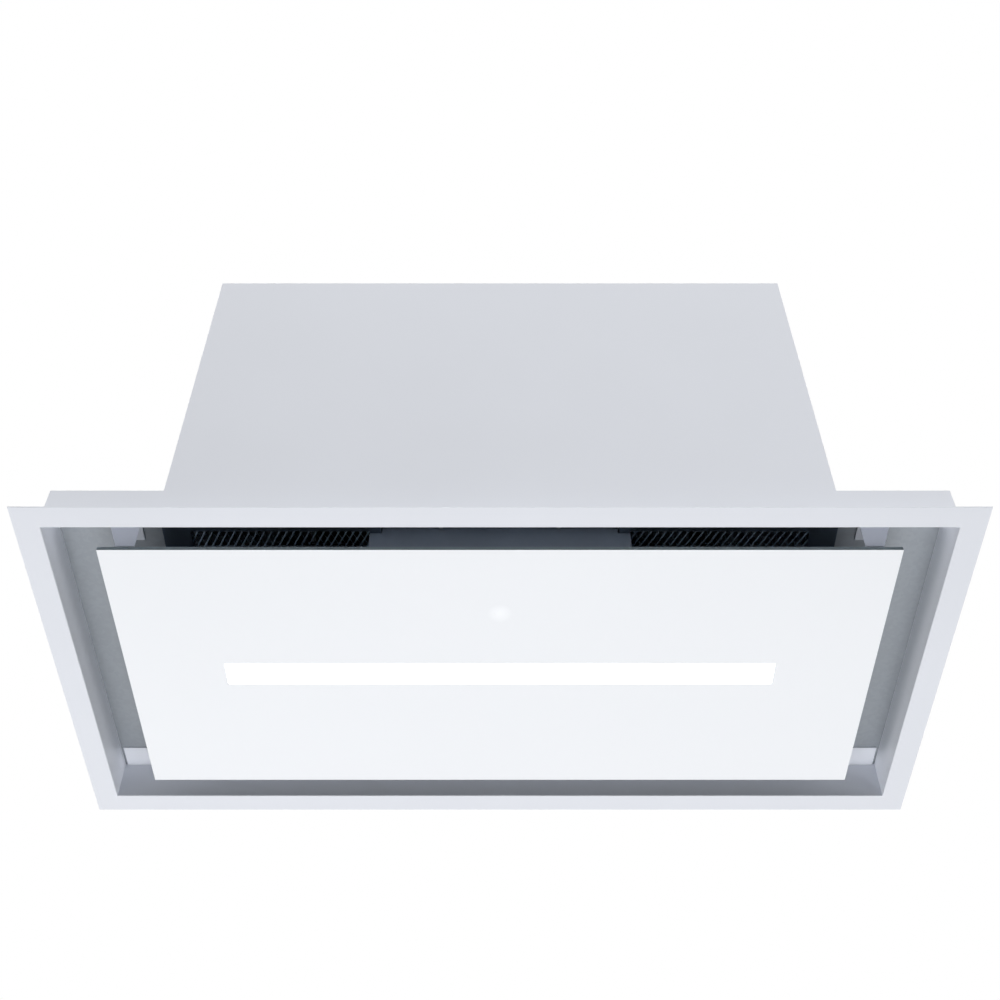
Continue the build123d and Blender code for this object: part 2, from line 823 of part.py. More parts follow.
# ---- Blower --------------------------------------------------------------------------------------
def scroll_outline(inset, top):
    """The scroll's side view: four growing quarter arcs from the cut-off, then the straight outlet."""
    r1 = cutoff_radius + spiral_step
    r2 = r1 + spiral_step
    r3 = r2 + spiral_step
    start = (blower_y, blower_z + cutoff_radius - inset)
    c1 = (blower_y, blower_z - spiral_step)
    c2 = (c1[0] + spiral_step, c1[1])
    c3 = (c2[0], c2[1] + spiral_step)
    r1, r2, r3 = r1 - inset, r2 - inset, r3 - inset
    slant = sin(radians(45))
    p1 = (c1[0] - r1, c1[1])
    p2 = (c2[0], c2[1] - r2)
    p3 = (c3[0] + r3, c3[1])
    edges = [
        ThreePointArc(start, (c1[0] - r1 * slant, c1[1] + r1 * slant), p1),
        ThreePointArc(p1, (c2[0] - r2 * slant, c2[1] - r2 * slant), p2),
        ThreePointArc(p2, (c3[0] + r3 * slant, c3[1] - r3 * slant), p3),
        Line(p3, (p3[0], top)),
        Line((p3[0], top), (blower_y + inset, top)),
    ]
    if inset:
        edges.append(Line((blower_y + inset, top), (blower_y + inset, start[1])))
        edges.append(Line((blower_y + inset, start[1]), start))
    else:
        edges.append(Line((blower_y, top), start))
    return make_face(edges)


def scroll_prism(inset, x0, x1, top):
    """The scroll's side view as a solid between two planes across X."""
    face = Plane.YZ * scroll_outline(inset, top)
    return Pos(x0, 0, 0) * extrude(face, x1 - x0)


def scroll_wrap():
    """The curved sheet of the blower's casing."""
    half = scroll_half - scroll_sheet
    outer = scroll_prism(0, -half, half, top_inside - scroll_sheet)
    return outer - scroll_prism(scroll_sheet, -half - past, half + past, top_inside + past)


def scroll_side():
    """One side of the blower's casing, with its rolled inlet."""
    x0, x1 = scroll_half - scroll_sheet, scroll_half
    side = scroll_prism(0, x0, x1, top_inside - scroll_sheet)
    lip = rod_x(x0, x1 + inlet_lip, blower_y, blower_z, inlet_radius + scroll_sheet)
    return side + lip - rod_x(x0 - past, x1 + inlet_lip + past, blower_y, blower_z, inlet_radius)


def outlet_flange():
    """The flat flange that hangs the blower under the top plate."""
    half_x, half_y = outlet_flange_size()
    z0 = top_inside - scroll_sheet
    flange = block(-half_x, half_x, -half_y, half_y, z0, top_inside)
    hole_x = scroll_half - scroll_sheet
    y0, y1 = blower_y + scroll_sheet, outlet_y - scroll_sheet
    flange -= block(-hole_x, hole_x, y0, y1, z0 - past, top_inside + past)
    for x, y in outlet_screw_places() + spigot_screw_places():
        flange -= disc(x, y, z0 - past, top_inside + past, screw_hole)
    return flange


def impeller():
    """A double-inlet wheel: blades between two end rings, on a centre disc with its hub."""
    wheel = rod_x(-impeller_disc / 2, impeller_disc / 2, 0, 0, impeller_inner + impeller_disc_lap)
    wheel += rod_x(-hub_half, hub_half, 0, 0, hub_radius)
    for side in (-1, 1):
        edge = sorted((side * (impeller_half - impeller_ring), side * impeller_half))
        hole = rod_x(edge[0] - past, edge[1] + past, 0, 0, impeller_inner)
        wheel += rod_x(*edge, 0, 0, impeller_radius) - hole
    middle = (impeller_radius + impeller_inner) / 2
    depth = impeller_radius - impeller_inner - blade_margin
    blade = Box(2 * impeller_half - impeller_ring, blade_sheet, depth)
    blade = Pos(0, 0, middle) * Rot(blade_lean, 0, 0) * blade
    blades = []
    for i in range(blade_count):
        blades.append(Rot(360 * i / blade_count, 0, 0) * blade)
    wheel += blades
    wheel -= rod_x(-hub_half - past, hub_half + past, 0, 0, shaft_radius)
    return Pos(0, blower_y, blower_z) * wheel


def motor_shaft():
    """The shaft through the motor and the wheel's hub."""
    return rod_x(-motor_outer_x - shaft_stub, hub_half + shaft_end, blower_y, blower_z, shaft_radius)


def motor():
    """The motor's body in the left inlet, with its end bells and bearing bosses."""
    y, z = blower_y, blower_z
    body = rod_x(-motor_outer_x + motor_bell, -motor_inner_x - motor_bell, y, z, motor_radius)
    bell = rod_x(-motor_outer_x, -motor_inner_x, y, z, motor_radius - motor_bell_step)
    x0, x1 = -motor_outer_x - motor_boss, -motor_inner_x + motor_boss
    boss = rod_x(x0, x1, y, z, motor_boss_radius)
    return body + bell + boss - rod_x(x0 - past, x1 + past, y, z, shaft_radius + running_clear)


def motor_spider():
    """A band round the motor with three arms out to the left inlet."""
    band_x0, band_x1 = -spider_x - spider_band_half, -spider_x + spider_band_half
    band = rod_x(band_x0, band_x1, 0, 0, motor_radius + spider_band)
    half = spider_arm / 2
    arm_x = -spider_x - spider_sheet
    foot_x = -scroll_half
    leg_top = spider_reach + spider_leg_rise
    leg_bottom = leg_top - spider_sheet
    arm = block(arm_x, arm_x + spider_sheet, -half, half, motor_radius + spider_arm_start, leg_top)
    arm += block(arm_x, foot_x, -half, half, leg_bottom, leg_top)
    arm += block(foot_x - spider_toe_sheet, foot_x, -half, half, leg_bottom, leg_top + spider_toe)
    arms = [Rot(360 * i / arm_count, 0, 0) * arm for i in range(arm_count)]
    spider = band + arms
    spider -= rod_x(band_x0 - past, band_x1 + past, 0, 0, motor_radius)
    return Pos(0, blower_y, blower_z) * spider


# ---- Duct outlet with its non-return flaps -------------------------------------------------------
def duct_spigot():
    """The round spigot: flange, tube, the flaps' seat and the holes of their pin."""
    tube = disc(0, 0, box_top, box_top + spigot_height, spigot_radius)
    tube += disc(0, 0, box_top, box_top + spigot_flange, spigot_flange_radius)
    tube -= disc(0, 0, box_top - past, box_top + spigot_height + past, spigot_inside)
    seat_top = flap_z - flap_sheet / 2 - knuckle_clear
    seat = disc(0, 0, seat_top - seat_sheet, seat_top, spigot_inside + spigot_wall / 2)
    seat -= disc(0, 0, seat_top - seat_sheet - past, seat_top + past, spigot_inside - seat_lip)
    width = 2 * (knuckle_radius + knuckle_clear)
    seat -= block(-width / 2, width / 2, -spigot_inside, spigot_inside, box_top, flap_z)
    tube += seat
    pin_hole = flap_pin_radius + running_clear
    tube -= rod_y(0, -spigot_radius - past, spigot_radius + past, flap_z, pin_hole)
    for x, y in spigot_screw_places():
        tube -= disc(x, y, box_top - past, box_top + spigot_flange + past, screw_hole)
    return tube


def flap_pin():
    """The wire across the spigot on which both flaps turn."""
    end = spigot_radius - flap_pin_inset
    return rod_y(0, -end, end, flap_z, flap_pin_radius)


def flap(spans):
    """The right-hand half-disc with knuckles on some spans of the pin."""
    half = flap_sheet / 2
    start = knuckle_radius + knuckle_clear
    plate = disc(0, 0, flap_z - half, flap_z + half, flap_radius)
    edge = flap_radius + past
    plate -= block(-edge, start, -edge, edge, flap_z - half - past, flap_z + half + past)
    for y0, y1 in spans:
        plate += block(0, start + knuckle_lap, y0, y1, flap_z - half, flap_z + half)
        plate += rod_y(0, y0, y1, flap_z, knuckle_radius)
    return plate - rod_y(0, -spigot_radius, spigot_radius, flap_z, flap_pin_radius + running_clear)


# ---- Mains entry and motor capacitor -------------------------------------------------------------
def gland_hexagon(height):
    """The hexagon of the gland's body and of its nut."""
    return extrude(RegularPolygon(gland_hex / 2, 6, major_radius=False), height)


def cable_gland():
    """The gland's body: thread through the top plate, hexagon and dome, with the cable's bore."""
    body = Pos(gland_x, gland_y, box_top) * gland_hexagon(gland_hex_height)
    z1 = box_top + gland_hex_height
    body += disc(gland_x, gland_y, z1, z1 + gland_dome_height, gland_thread_radius)
    z0 = top_inside - terminal_wall - gland_nut_height - gland_thread_end
    body += disc(gland_x, gland_y, z0, box_top, gland_thread_radius)
    return body - disc(gland_x, gland_y, z0 - past, z1 + gland_dome_height + past, gland_bore)


def gland_nut():
    """The lock nut under the terminal box's roof."""
    z1 = top_inside - terminal_wall
    z0 = z1 - gland_nut_height
    nut = Pos(gland_x, gland_y, z0) * gland_hexagon(gland_nut_height)
    return nut - disc(gland_x, gland_y, z0 - past, z1 + past, gland_thread_radius + running_clear)


def terminal_prism(inset, z0, z1):
    """A box over the terminal box's plan, drawn in by an inset on all four sides."""
    half_x = terminal_width / 2 - inset
    half_y = terminal_depth / 2 - inset
    return block(gland_x - half_x, gland_x + half_x, gland_y - half_y, gland_y + half_y, z0, z1)


def terminal_box():
    """The mains connection box under the top plate, open below."""
    z0 = top_inside - terminal_height
    case = terminal_prism(0, z0, top_inside)
    case -= terminal_prism(terminal_wall, z0 - past, top_inside - terminal_wall)
    return case - disc(gland_x, gland_y, z0, top_inside + past, gland_thread_radius + screw_hole_clear)


def terminal_cover():
    """The box's push-in lid with its inner rim."""
    z1 = top_inside - terminal_height
    rim_inset = terminal_wall + terminal_clear
    rim = terminal_prism(rim_inset, z1, z1 + terminal_rim)
    rim -= terminal_prism(rim_inset + terminal_wall, z1, z1 + terminal_rim + past)
    return terminal_prism(0, z1 - terminal_lid, z1) + rim


def terminal_strip():
    """The screw terminals on the side wall of the terminal box."""
    x1 = gland_x + terminal_width / 2 - terminal_wall
    z1 = top_inside - terminal_wall
    z0 = z1 - strip_height
    x = x1 - strip_width / 2
    strip = standing_box(x, gland_y, z0, (strip_width, strip_length, strip_height))
    for i in range(terminal_count):
        y = gland_y + (i - (terminal_count - 1) / 2) * terminal_pitch
        strip -= disc(x, y, z0 - past, z0 + terminal_hole_depth, terminal_hole_radius)
    return strip


def run_capacitor():
    """The motor's capacitor, standing head down under the top plate."""
    z0 = top_inside - capacitor_length
    can = disc(capacitor_x, capacitor_y, z0, top_inside, capacitor_radius)
    can = fillet(can.edges().filter_by(GeomType.CIRCLE).sort_by(Axis.Z)[0], capacitor_edge)
    tab = (tab_sheet, tab_width, tab_length + tab_sheet)
    for side in (-1, 1):
        can += standing_box(capacitor_x + side * tab_offset, capacitor_y, z0 - tab_length, tab)
    return can


def capacitor_strap():
    """The strap with a foot that holds the capacitor."""
    x, y = capacitor_x, capacitor_y
    z1 = top_inside - strap_drop
    z0 = z1 - strap_width
    strap = disc(x, y, z0, z1, capacitor_radius + strap_sheet) - disc(x, y, z0, z1, capacitor_radius)
    x0 = x + capacitor_radius + strap_sheet / 2
    x1 = x + capacitor_radius + strap_foot
    y0, y1 = y - strap_foot_width / 2, y + strap_foot_width / 2
    strap += block(x0, x1, y0, y1, z1 - strap_sheet, z1)
    strap += block(x1 - strap_sheet, x1, y0, y1, z1 - strap_sheet, top_inside)
    return strap


# ---- Fasteners -----------------------------------------------------------------------------------
def screws(places, head_z, up):
    """Pan-head screws with their heads' seats at one height, and shanks going up or down from it."""
    made = []
    for x, y in places:
        if up:
            head = disc(x, y, head_z - screw_head_height, head_z, screw_head_radius)
            made.append(head + disc(x, y, head_z, head_z + screw_length, screw_radius))
        else:
            head = disc(x, y, head_z, head_z + screw_head_height, screw_head_radius)
            made.append(head + disc(x, y, head_z - screw_length, head_z, screw_radius))
    return group(made)


def ceiling_screws(places, sheet):
    """Short screws up through a bracket's foot and the ceiling plate."""
    made = []
    seat = recess_height - sheet
    for x, y in places:
        head = disc(x, y, seat - screw_head_height, seat, screw_head_radius)
        made.append(head + disc(x, y, seat, recess_height + plate_sheet + screw_tip, screw_radius))
    return made


def bracket_screws():
    """The screws of the hinge brackets, catch brackets and centre housing."""
    made = ceiling_screws(hinge_screw_places(), hinge_ear)
    made += ceiling_screws(catch_screw_places(), catch_sheet)
    made += ceiling_screws(housing_screw_places(), skin)
    return group(made)


side_knuckles = [(-side_knuckle_end, -side_knuckle_start), (side_knuckle_start, side_knuckle_end)]
right_flap = flap([(-middle_knuckle_half, middle_knuckle_half)])
left_flap = left_of(flap(side_knuckles))

nodes = {
    "trim_frame": trim_frame(),
    "front_skin": long_skin(),
    "rear_skin": mirror(long_skin(), about=Plane.XZ),
    "collar_side_right": collar_side(),
    "collar_side_left": left_of(collar_side()),
    "box_side_right": box_side(),
    "box_side_left": left_of(box_side()),
    "top_plate": top_plate(),
    "ceiling_plate": ceiling_plate(),
    "hanger_rail_right": hanger_rail(),
    "hanger_rail_left": left_of(hanger_rail()),
    "glass_panel": glass_panel(),
    "panel_tray": panel_tray(),
    "light_diffuser": light_diffuser(),
    "light_channel": light_channel(),
    "light_board": light_board(),
    "light_chips": light_chips(),
    "indicator_lens": indicator_lens(),
    "sensor_board": sensor_board(),
    "hinge_bracket_right": hinge_bracket(),
    "hinge_bracket_left": left_of(hinge_bracket()),
    "hinge_pins": pair(hinge_pin()),
    "hinge_knuckles": pair(hinge_knuckle_block()),
    "catch_bracket_right": catch_bracket(),
    "catch_bracket_left": left_of(catch_bracket()),
    "catch_magnets": catch_magnets(),
    "strike_plates": strike_plates(),
    "filter_magnets": filter_magnets(),
    "centre_housing": centre_housing(),
    "main_board": main_board(),
    "light_driver": light_driver(),
    "scroll_wrap": scroll_wrap(),
    "scroll_side_right": scroll_side(),
    "scroll_side_left": left_of(scroll_side()),
    "outlet_flange": outlet_flange(),
    "impeller": impeller(),
    "motor_shaft": motor_shaft(),
    "motor": motor(),
    "motor_spider": motor_spider(),
    "duct_spigot": duct_spigot(),
    "flap_pin": flap_pin(),
    "flap_right": right_flap,
    "flap_left": left_flap,
    "cable_gland": cable_gland(),
    "gland_nut": gland_nut(),
    "terminal_box": terminal_box(),
    "terminal_cover": terminal_cover(),
    "terminal_strip": terminal_strip(),
    "run_capacitor": run_capacitor(),
    "capacitor_strap": capacitor_strap(),
    "spigot_screws": screws(spigot_screw_places(), box_top + spigot_flange, False),
    "outlet_screws": screws(outlet_screw_places(), box_top, False),
    "bracket_screws": bracket_screws(),
}
right_filter = {
    "filter_frame": filter_frame(),
    "filter_mesh": filter_meshes(),
    "filter_grip": group([filter_grip(), *grip_rivets()]),
}
for name, part in right_filter.items():
    nodes[f"{name}_right"] = part
    nodes[f"{name}_left"] = Rot(0, 0, 180) * part

os.makedirs("parts", exist_ok=True)
for name, part in nodes.items():
    export_step(part, f"parts/{name}.step")
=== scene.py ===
"""Ceiling range hood: finishes, finely made pieces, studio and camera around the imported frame."""

import json
from math import cos, pi, radians, sin, tan

import bmesh
import bpy
from mathutils import Matrix, Vector


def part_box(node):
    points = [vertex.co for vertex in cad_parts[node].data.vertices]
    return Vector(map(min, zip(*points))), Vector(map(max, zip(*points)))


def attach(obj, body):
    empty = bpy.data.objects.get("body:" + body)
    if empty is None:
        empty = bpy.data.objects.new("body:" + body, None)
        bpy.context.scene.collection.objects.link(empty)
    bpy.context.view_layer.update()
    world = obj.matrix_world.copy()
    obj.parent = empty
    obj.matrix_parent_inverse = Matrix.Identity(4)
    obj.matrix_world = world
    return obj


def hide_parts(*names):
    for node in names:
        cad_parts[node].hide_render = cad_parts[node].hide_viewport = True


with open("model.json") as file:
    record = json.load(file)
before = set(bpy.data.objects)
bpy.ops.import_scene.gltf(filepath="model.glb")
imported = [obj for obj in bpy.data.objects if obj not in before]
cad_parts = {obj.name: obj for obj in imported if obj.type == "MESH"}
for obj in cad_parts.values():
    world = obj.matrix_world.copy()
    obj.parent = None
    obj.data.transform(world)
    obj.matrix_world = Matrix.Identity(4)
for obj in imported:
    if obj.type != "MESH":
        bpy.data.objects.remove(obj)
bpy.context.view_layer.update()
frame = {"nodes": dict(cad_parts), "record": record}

mm = 0.001
record = frame["record"]
slot_of = {part["node"]: part["material_slot"] for part in record["subparts"]}
body_of = {node: body for body, nodes in record["behaviour"]["bodies"].items() for node in nodes}

# ---- Values that several pieces share, with sizes in millimetres ---------------------------------
sharp_edge = radians(35)
shading_crease = radians(50)
flatness = radians(0.5)
cad_weld = 0.002
weld = 0.001
thin_strip_edge = 0.12
sheet_edge = 0.3
plate_edge = 0.4
moulded_edge = 0.8
pan_height = 2.2
print_white = (0.9, 0.922, 0.96)


# ---- Finishes ------------------------------------------------------------------------------------
class Finish:
    """A material in the making: one shader, and short calls for the nodes that feed it."""

    def __init__(self, name, colour, roughness, metallic=0.0):
        self.material = bpy.data.materials.new(name)
        self.material.use_nodes = True
        self.tree = self.material.node_tree
        self.shader = self.tree.nodes["Principled BSDF"]
        self.colour = Vector(colour)
        self.place = self.add("ShaderNodeTexCoord").outputs["Object"]
        self.bump = None
        self.set("Base Color", (*colour, 1))
        self.set("Roughness", roughness)
        self.set("Metallic", metallic)

    def add(self, kind, settings=(), **inputs):
        """Adds a node. A value goes on its socket, and another node's output is linked to it."""
        node = self.tree.nodes.new(kind)
        for name, value in dict(settings).items():
            setattr(node, name, value)
        for name, value in inputs.items():
            self.feed(node.inputs[name.replace("_", " ")], value)
        return node

    def feed(self, socket, value):
        """Links an output to a socket, or writes a plain value on it."""
        if isinstance(value, bpy.types.NodeSocket):
            self.tree.links.new(value, socket)
        else:
            socket.default_value = value

    def set(self, name, value):
        """Sets one of the shader's own sockets."""
        self.feed(self.shader.inputs[name], value)

    def stretched(self, stretch):
        """The object's coordinates, drawn out along the axes where the stretch is above 1."""
        scale = [1 / s for s in stretch]
        return self.add("ShaderNodeMapping", Vector=self.place, Scale=scale).outputs["Vector"]

    def noise(self, size, detail=2.0, stretch=(1, 1, 1)):
        """A cloudy pattern with features of about one size, in millimetres."""
        place = self.stretched(stretch)
        node = self.add("ShaderNodeTexNoise", Vector=place, Scale=1 / (size * mm), Detail=detail)
        return node.outputs["Fac"]

    def cells(self, size, stretch=(1, 1, 1), distance="EUCLIDEAN", scatter=1.0):
        """Flat cells, each with its own random value. The CHEBYCHEV distance makes them square."""
        place = self.stretched(stretch)
        node = self.add("ShaderNodeTexVoronoi", {"distance": distance}, Vector=place,
                        Scale=1 / (size * mm), Randomness=scatter)
        return self.add("ShaderNodeSeparateColor", Color=node.outputs["Color"]).outputs["Red"]

    def ramp(self, pattern, *stops):
        """Colours blended along a pattern. A stop is a position and a colour."""
        node = self.add("ShaderNodeValToRGB", Fac=pattern)
        marks = node.color_ramp.elements
        while len(marks) < len(stops):
            marks.new(0.5)
        for mark, (position, colour) in zip(marks, stops):
            mark.position = position
            mark.color = (*colour, 1)
        return node.outputs["Color"]

    def mix(self, factor, first, second):
        """Blends two colours by a factor."""
        node = self.add("ShaderNodeMix", {"data_type": "RGBA"})
        self.feed(node.inputs[0], factor)
        for socket, value in ((node.inputs[6], first), (node.inputs[7], second)):
            self.feed(socket, value if isinstance(value, bpy.types.NodeSocket) else (*value, 1))
        return node.outputs[2]

    def spread(self, pattern, low, high, start=0.3, end=0.7):
        """The pattern's middle stretched out between two values."""
        node = self.add("ShaderNodeMapRange", Value=pattern, From_Min=start, From_Max=end,
                        To_Min=low, To_Max=high)
        return node.outputs["Result"]

    def sum(self, operation, first, second=0.5):
        """One step of arithmetic. An operation on one value leaves the second unread."""
        node = self.add("ShaderNodeMath", {"operation": operation})
        self.feed(node.inputs[0], first)
        self.feed(node.inputs[1], second)
        return node.outputs["Value"]

    def tint(self, pattern, share):
        """Varies the base colour up and down by a share."""
        darker, lighter = self.colour * (1 - share), self.colour * (1 + share)
        self.set("Base Color", self.ramp(pattern, (0.3, darker), (0.7, lighter)))

    def gloss(self, pattern, smooth, rough):
        """Varies the roughness between two values."""
        self.set("Roughness", self.spread(pattern, smooth, rough))

    def relief(self, pattern, depth):
        """Adds fine relief, with its depth in millimetres."""
        node = self.add("ShaderNodeBump", Height=pattern, Strength=1.0, Distance=depth * mm)
        if self.bump:
            self.feed(node.inputs["Normal"], self.bump)
        self.bump = node.outputs["Normal"]
        self.set("Normal", self.bump)


def white_enamel():
    """Satin white powder coat: a fine orange peel over faint clouds."""
    finish = Finish("white_enamel", (0.79, 0.815, 0.875), 0.3)
    finish.tint(finish.noise(260, 3), 0.01)
    finish.gloss(finish.noise(60, 3), 0.29, 0.33)
    finish.relief(finish.noise(1.4, 1), 0.0015)
    return finish.material


def galvanised_sheet():
    """Zinc-dipped sheet, dulled by passivation, with a fine faint spangle."""
    finish = Finish("galvanised_sheet", (0.31, 0.335, 0.365), 0.45, 0.45)
    spangle = finish.cells(4.5)
    finish.tint(spangle, 0.022)
    finish.gloss(finish.sum("ADD", spangle, finish.noise(5, 4)), 0.43, 0.5)
    finish.relief(finish.noise(2.5, 3), 0.003)
    return finish.material


def slate_enamel():
    """Matte slate coat with a fine texture."""
    finish = Finish("slate_enamel", (0.15, 0.18, 0.22), 0.5)
    finish.tint(finish.noise(60, 3), 0.06)
    finish.gloss(finish.noise(8, 3), 0.42, 0.58)
    finish.relief(finish.noise(0.8, 2), 0.012)
    return finish.material


def bright_metal(name, colour, smooth, rough, grain=(1, 1, 1), marks=1.2):
    """Plated or drawn metal: faint clouds of colour, and fine marks along its grain."""
    finish = Finish(name, colour, (smooth + rough) / 2, 1.0)
    finish.tint(finish.noise(30, 4), 0.05)
    finish.gloss(finish.noise(marks, 4, grain), smooth, rough)
    finish.relief(finish.noise(marks / 2, 3, grain), 0.004)
    return finish.material


def indicator_light(finish):
    """Gives a finish the indicator's light, which fades out in the glass around the lens.

    It returns the distance from the middle of the lens's face."""
    low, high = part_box("indicator_lens")
    face = Vector(((low.x + high.x) / 2, (low.y + high.y) / 2, low.z))
    glow, core, reach = 0.085, 2 * mm, 14 * mm
    from_lens = finish.add("ShaderNodeVectorMath", {"operation": "DISTANCE"}, Vector=finish.place)
    finish.feed(from_lens.inputs[1], face)
    distance = from_lens.outputs["Value"]
    finish.set("Emission Color", (1, 1, 1, 1))
    finish.set("Emission Strength", finish.spread(distance, glow, 0, core, reach))
    return distance


def white_glass():
    """Polished glass over a white print on its back, with the glass's own green-grey at its edges.

    Round the lens the rim of the glass stays white."""
    finish = Finish("white_glass", print_white, 0.28)
    distance = indicator_light(finish)
    darker, lighter = finish.colour * 0.995, finish.colour * 1.005
    print_shade = finish.ramp(finish.noise(420, 1), (0.3, darker), (0.7, lighter))
    edge_colour = (0.2, 0.27, 0.28)
    edge_slope, face_slope = 0.45, 0.85
    near_lens, past_lens = 8 * mm, 9 * mm
    facing = finish.add("ShaderNodeTexCoord").outputs["Normal"]
    upright = finish.add("ShaderNodeSeparateXYZ", Vector=facing).outputs["Z"]
    flat = finish.spread(finish.sum("ABSOLUTE", upright), 0, 1, edge_slope, face_slope)
    printed = finish.sum("MAXIMUM", flat, finish.spread(distance, 1, 0, near_lens, past_lens))
    finish.set("Base Color", finish.mix(printed, edge_colour, print_shade))
    finish.set("Coat Weight", 1.0)
    finish.set("Coat IOR", 1.5)
    finish.set("Coat Roughness", 0.03)
    finish.relief(finish.noise(0.9, 1), 0.0003)
    return finish.material


def opal_acrylic():
    """Satin opal plastic, lit from behind by a row of chips."""
    finish = Finish("opal_acrylic", (0.93, 0.94, 0.95), 0.35)
    lit = finish.ramp(finish.noise(24, 1), (0.2, (0.97, 0.98, 1.0)), (0.8, (1.0, 1.0, 1.0)))
    finish.set("Emission Color", lit)
    finish.set("Emission Strength", 1.1)
    finish.relief(finish.noise(0.6, 1), 0.004)
    return finish.material


def lens_plastic():
    """Frosted lens in the glass's white, with a faint glow."""
    finish = Finish("lens_plastic", print_white, 0.28)
    indicator_light(finish)
    finish.tint(finish.noise(3, 1), 0.004)
    finish.set("Coat Weight", 1.0)
    finish.set("Coat Roughness", 0.05)
    finish.relief(finish.noise(0.7, 1), 0.0006)
    return finish.material


def board_laminate():
    """Green solder mask over fine copper tracks, which stand a little proud."""
    finish = Finish("board_laminate", (0.03, 0.17, 0.075), 0.35)
    tracks = finish.cells(1.6, (5, 1, 1), "CHEBYCHEV", 0.6)
    bare, raised = 0.6, 0.62
    over_board, over_track = (0.025, 0.145, 0.062), (0.03, 0.168, 0.074)
    finish.set("Base Color", finish.ramp(tracks, (bare, over_board), (raised, over_track)))
    finish.set("Coat Weight", 0.5)
    finish.relief(finish.ramp(tracks, (bare, (0, 0, 0)), (raised, (1, 1, 1))), 0.02)
    return finish.material


def chip_phosphor():
    """Yellow phosphor gel."""
    finish = Finish("chip_phosphor", (0.85, 0.68, 0.16), 0.3)
    finish.tint(finish.noise(0.5, 2), 0.08)
    finish.relief(finish.noise(0.4, 1), 0.02)
    return finish.material


def moulded_plastic(name, colour):
    """Moulded plastic with a fine spark-eroded grain."""
    finish = Finish(name, colour, 0.5)
    finish.tint(finish.noise(25, 3), 0.06)
    finish.gloss(finish.noise(4, 3), 0.42, 0.58)
    finish.relief(finish.noise(0.5, 2), 0.015)
    return finish.material


def anodised(name, colour):
    """Dark drawn aluminium with lines along its length."""
    finish = Finish(name, colour, 0.4, 1.0)
    lines = finish.noise(0.5, 3, (1, 60, 1))
    finish.tint(finish.noise(40, 3), 0.08)
    finish.gloss(lines, 0.32, 0.5)
    finish.relief(lines, 0.006)
    return finish.material


finishes = {
    "white_enamel": white_enamel(),
    "galvanised_sheet": galvanised_sheet(),
    "slate_enamel": slate_enamel(),
    "zinc_steel": bright_metal("zinc_steel", (0.58, 0.59, 0.6), 0.25, 0.42),
    "magnet_nickel": bright_metal("magnet_nickel", (0.66, 0.65, 0.61), 0.14, 0.26),
    "white_glass": white_glass(),
    "opal_acrylic": opal_acrylic(),
    "lens_plastic": lens_plastic(),
    "aluminium": bright_metal("aluminium", (0.66, 0.67, 0.69), 0.3, 0.45, (40, 1, 1), 0.6),
    "board_laminate": board_laminate(),
    "chip_phosphor": chip_phosphor(),
    "grey_plastic": moulded_plastic("grey_plastic", (0.34, 0.36, 0.39)),
    "wheel_steel": bright_metal("wheel_steel", (0.5, 0.52, 0.54), 0.32, 0.5),
    "black_plastic": moulded_plastic("black_plastic", (0.028, 0.029, 0.032)),
    "can_aluminium": bright_metal("can_aluminium", (0.62, 0.63, 0.65), 0.2, 0.34, (1, 1, 30), 0.5),
    "filter_aluminium": anodised("filter_aluminium", (0.125, 0.155, 0.195)),
    "mesh_aluminium": anodised("mesh_aluminium", (0.32, 0.41, 0.49)),
}
for node, made in frame["nodes"].items():
    made.data.materials.clear()
    made.data.materials.append(finishes[slot_of[node]])


# ---- Shaping -------------------------------------------------------------------------------------
def copy_of(node):
    """A merged copy of a node's mesh, with its flat faces whole again."""
    bm = bmesh.new()
    bm.from_mesh(frame["nodes"][node].data)
    bmesh.ops.remove_doubles(bm, verts=bm.verts, dist=cad_weld * mm)
    bmesh.ops.dissolve_limit(bm, angle_limit=flatness, verts=bm.verts, edges=bm.edges)
    return bm


def soften(bm, radius, segments=3, chosen=lambda edge: True):
    """Rounds the sharp edges that are chosen."""
    edges = [edge for edge in bm.edges if edge.calc_face_angle(0) > sharp_edge and chosen(edge)]
    bmesh.ops.bevel(bm, geom=edges, offset=radius * mm, offset_type="OFFSET", affect="EDGES",
                    segments=segments, profile=0.5, material=-1, clamp_overlap=True)
    return bm


def box_of(node):
    """A node's lowest and highest corners, in millimetres."""
    low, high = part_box(node)
    return low / mm, high / mm


def solids_of(node):
    """The lowest and highest corners of each separate solid of a node, in millimetres."""
    bm = copy_of(node)
    left = set(bm.verts)
    boxes = []
    while left:
        found, reached = set(), [left.pop()]
        while reached:
            vert = reached.pop()
            found.add(vert)
            near = {edge.other_vert(vert) for edge in vert.link_edges} & left
            left -= near
            reached.extend(near)
        spots = [vert.co / mm for vert in found]
        boxes.append([Vector(pick(spot[i] for spot in spots) for i in range(3)) for pick in (min, max)])
    bm.free()
    return boxes


def block(low, high, radius=0.0, segments=2):
    """A box between two corners in millimetres, with rounded edges where a radius is given."""
    low, high = Vector(low), Vector(high)
    place = Matrix.Translation((low + high) / 2 * mm) @ Matrix.Diagonal([*((high - low) * mm), 1])
    bm = bmesh.new()
    bmesh.ops.create_cube(bm, size=1, matrix=place)
    return soften(bm, radius, segments) if radius else bm


def prism(outline, low, high, radius):
    """An outline of points in millimetres, drawn up between two heights, with rounded edges."""
    bm = bmesh.new()
    face = bm.faces.new([bm.verts.new((x * mm, y * mm, low * mm)) for x, y in outline])
    made = bmesh.ops.extrude_face_region(bm, geom=[face])["geom"]
    raised = [item for item in made if isinstance(item, bmesh.types.BMVert)]
    bmesh.ops.translate(bm, verts=raised, vec=(0, 0, (high - low) * mm))
    bmesh.ops.recalc_face_normals(bm, faces=bm.faces)
    return soften(bm, radius, 2)


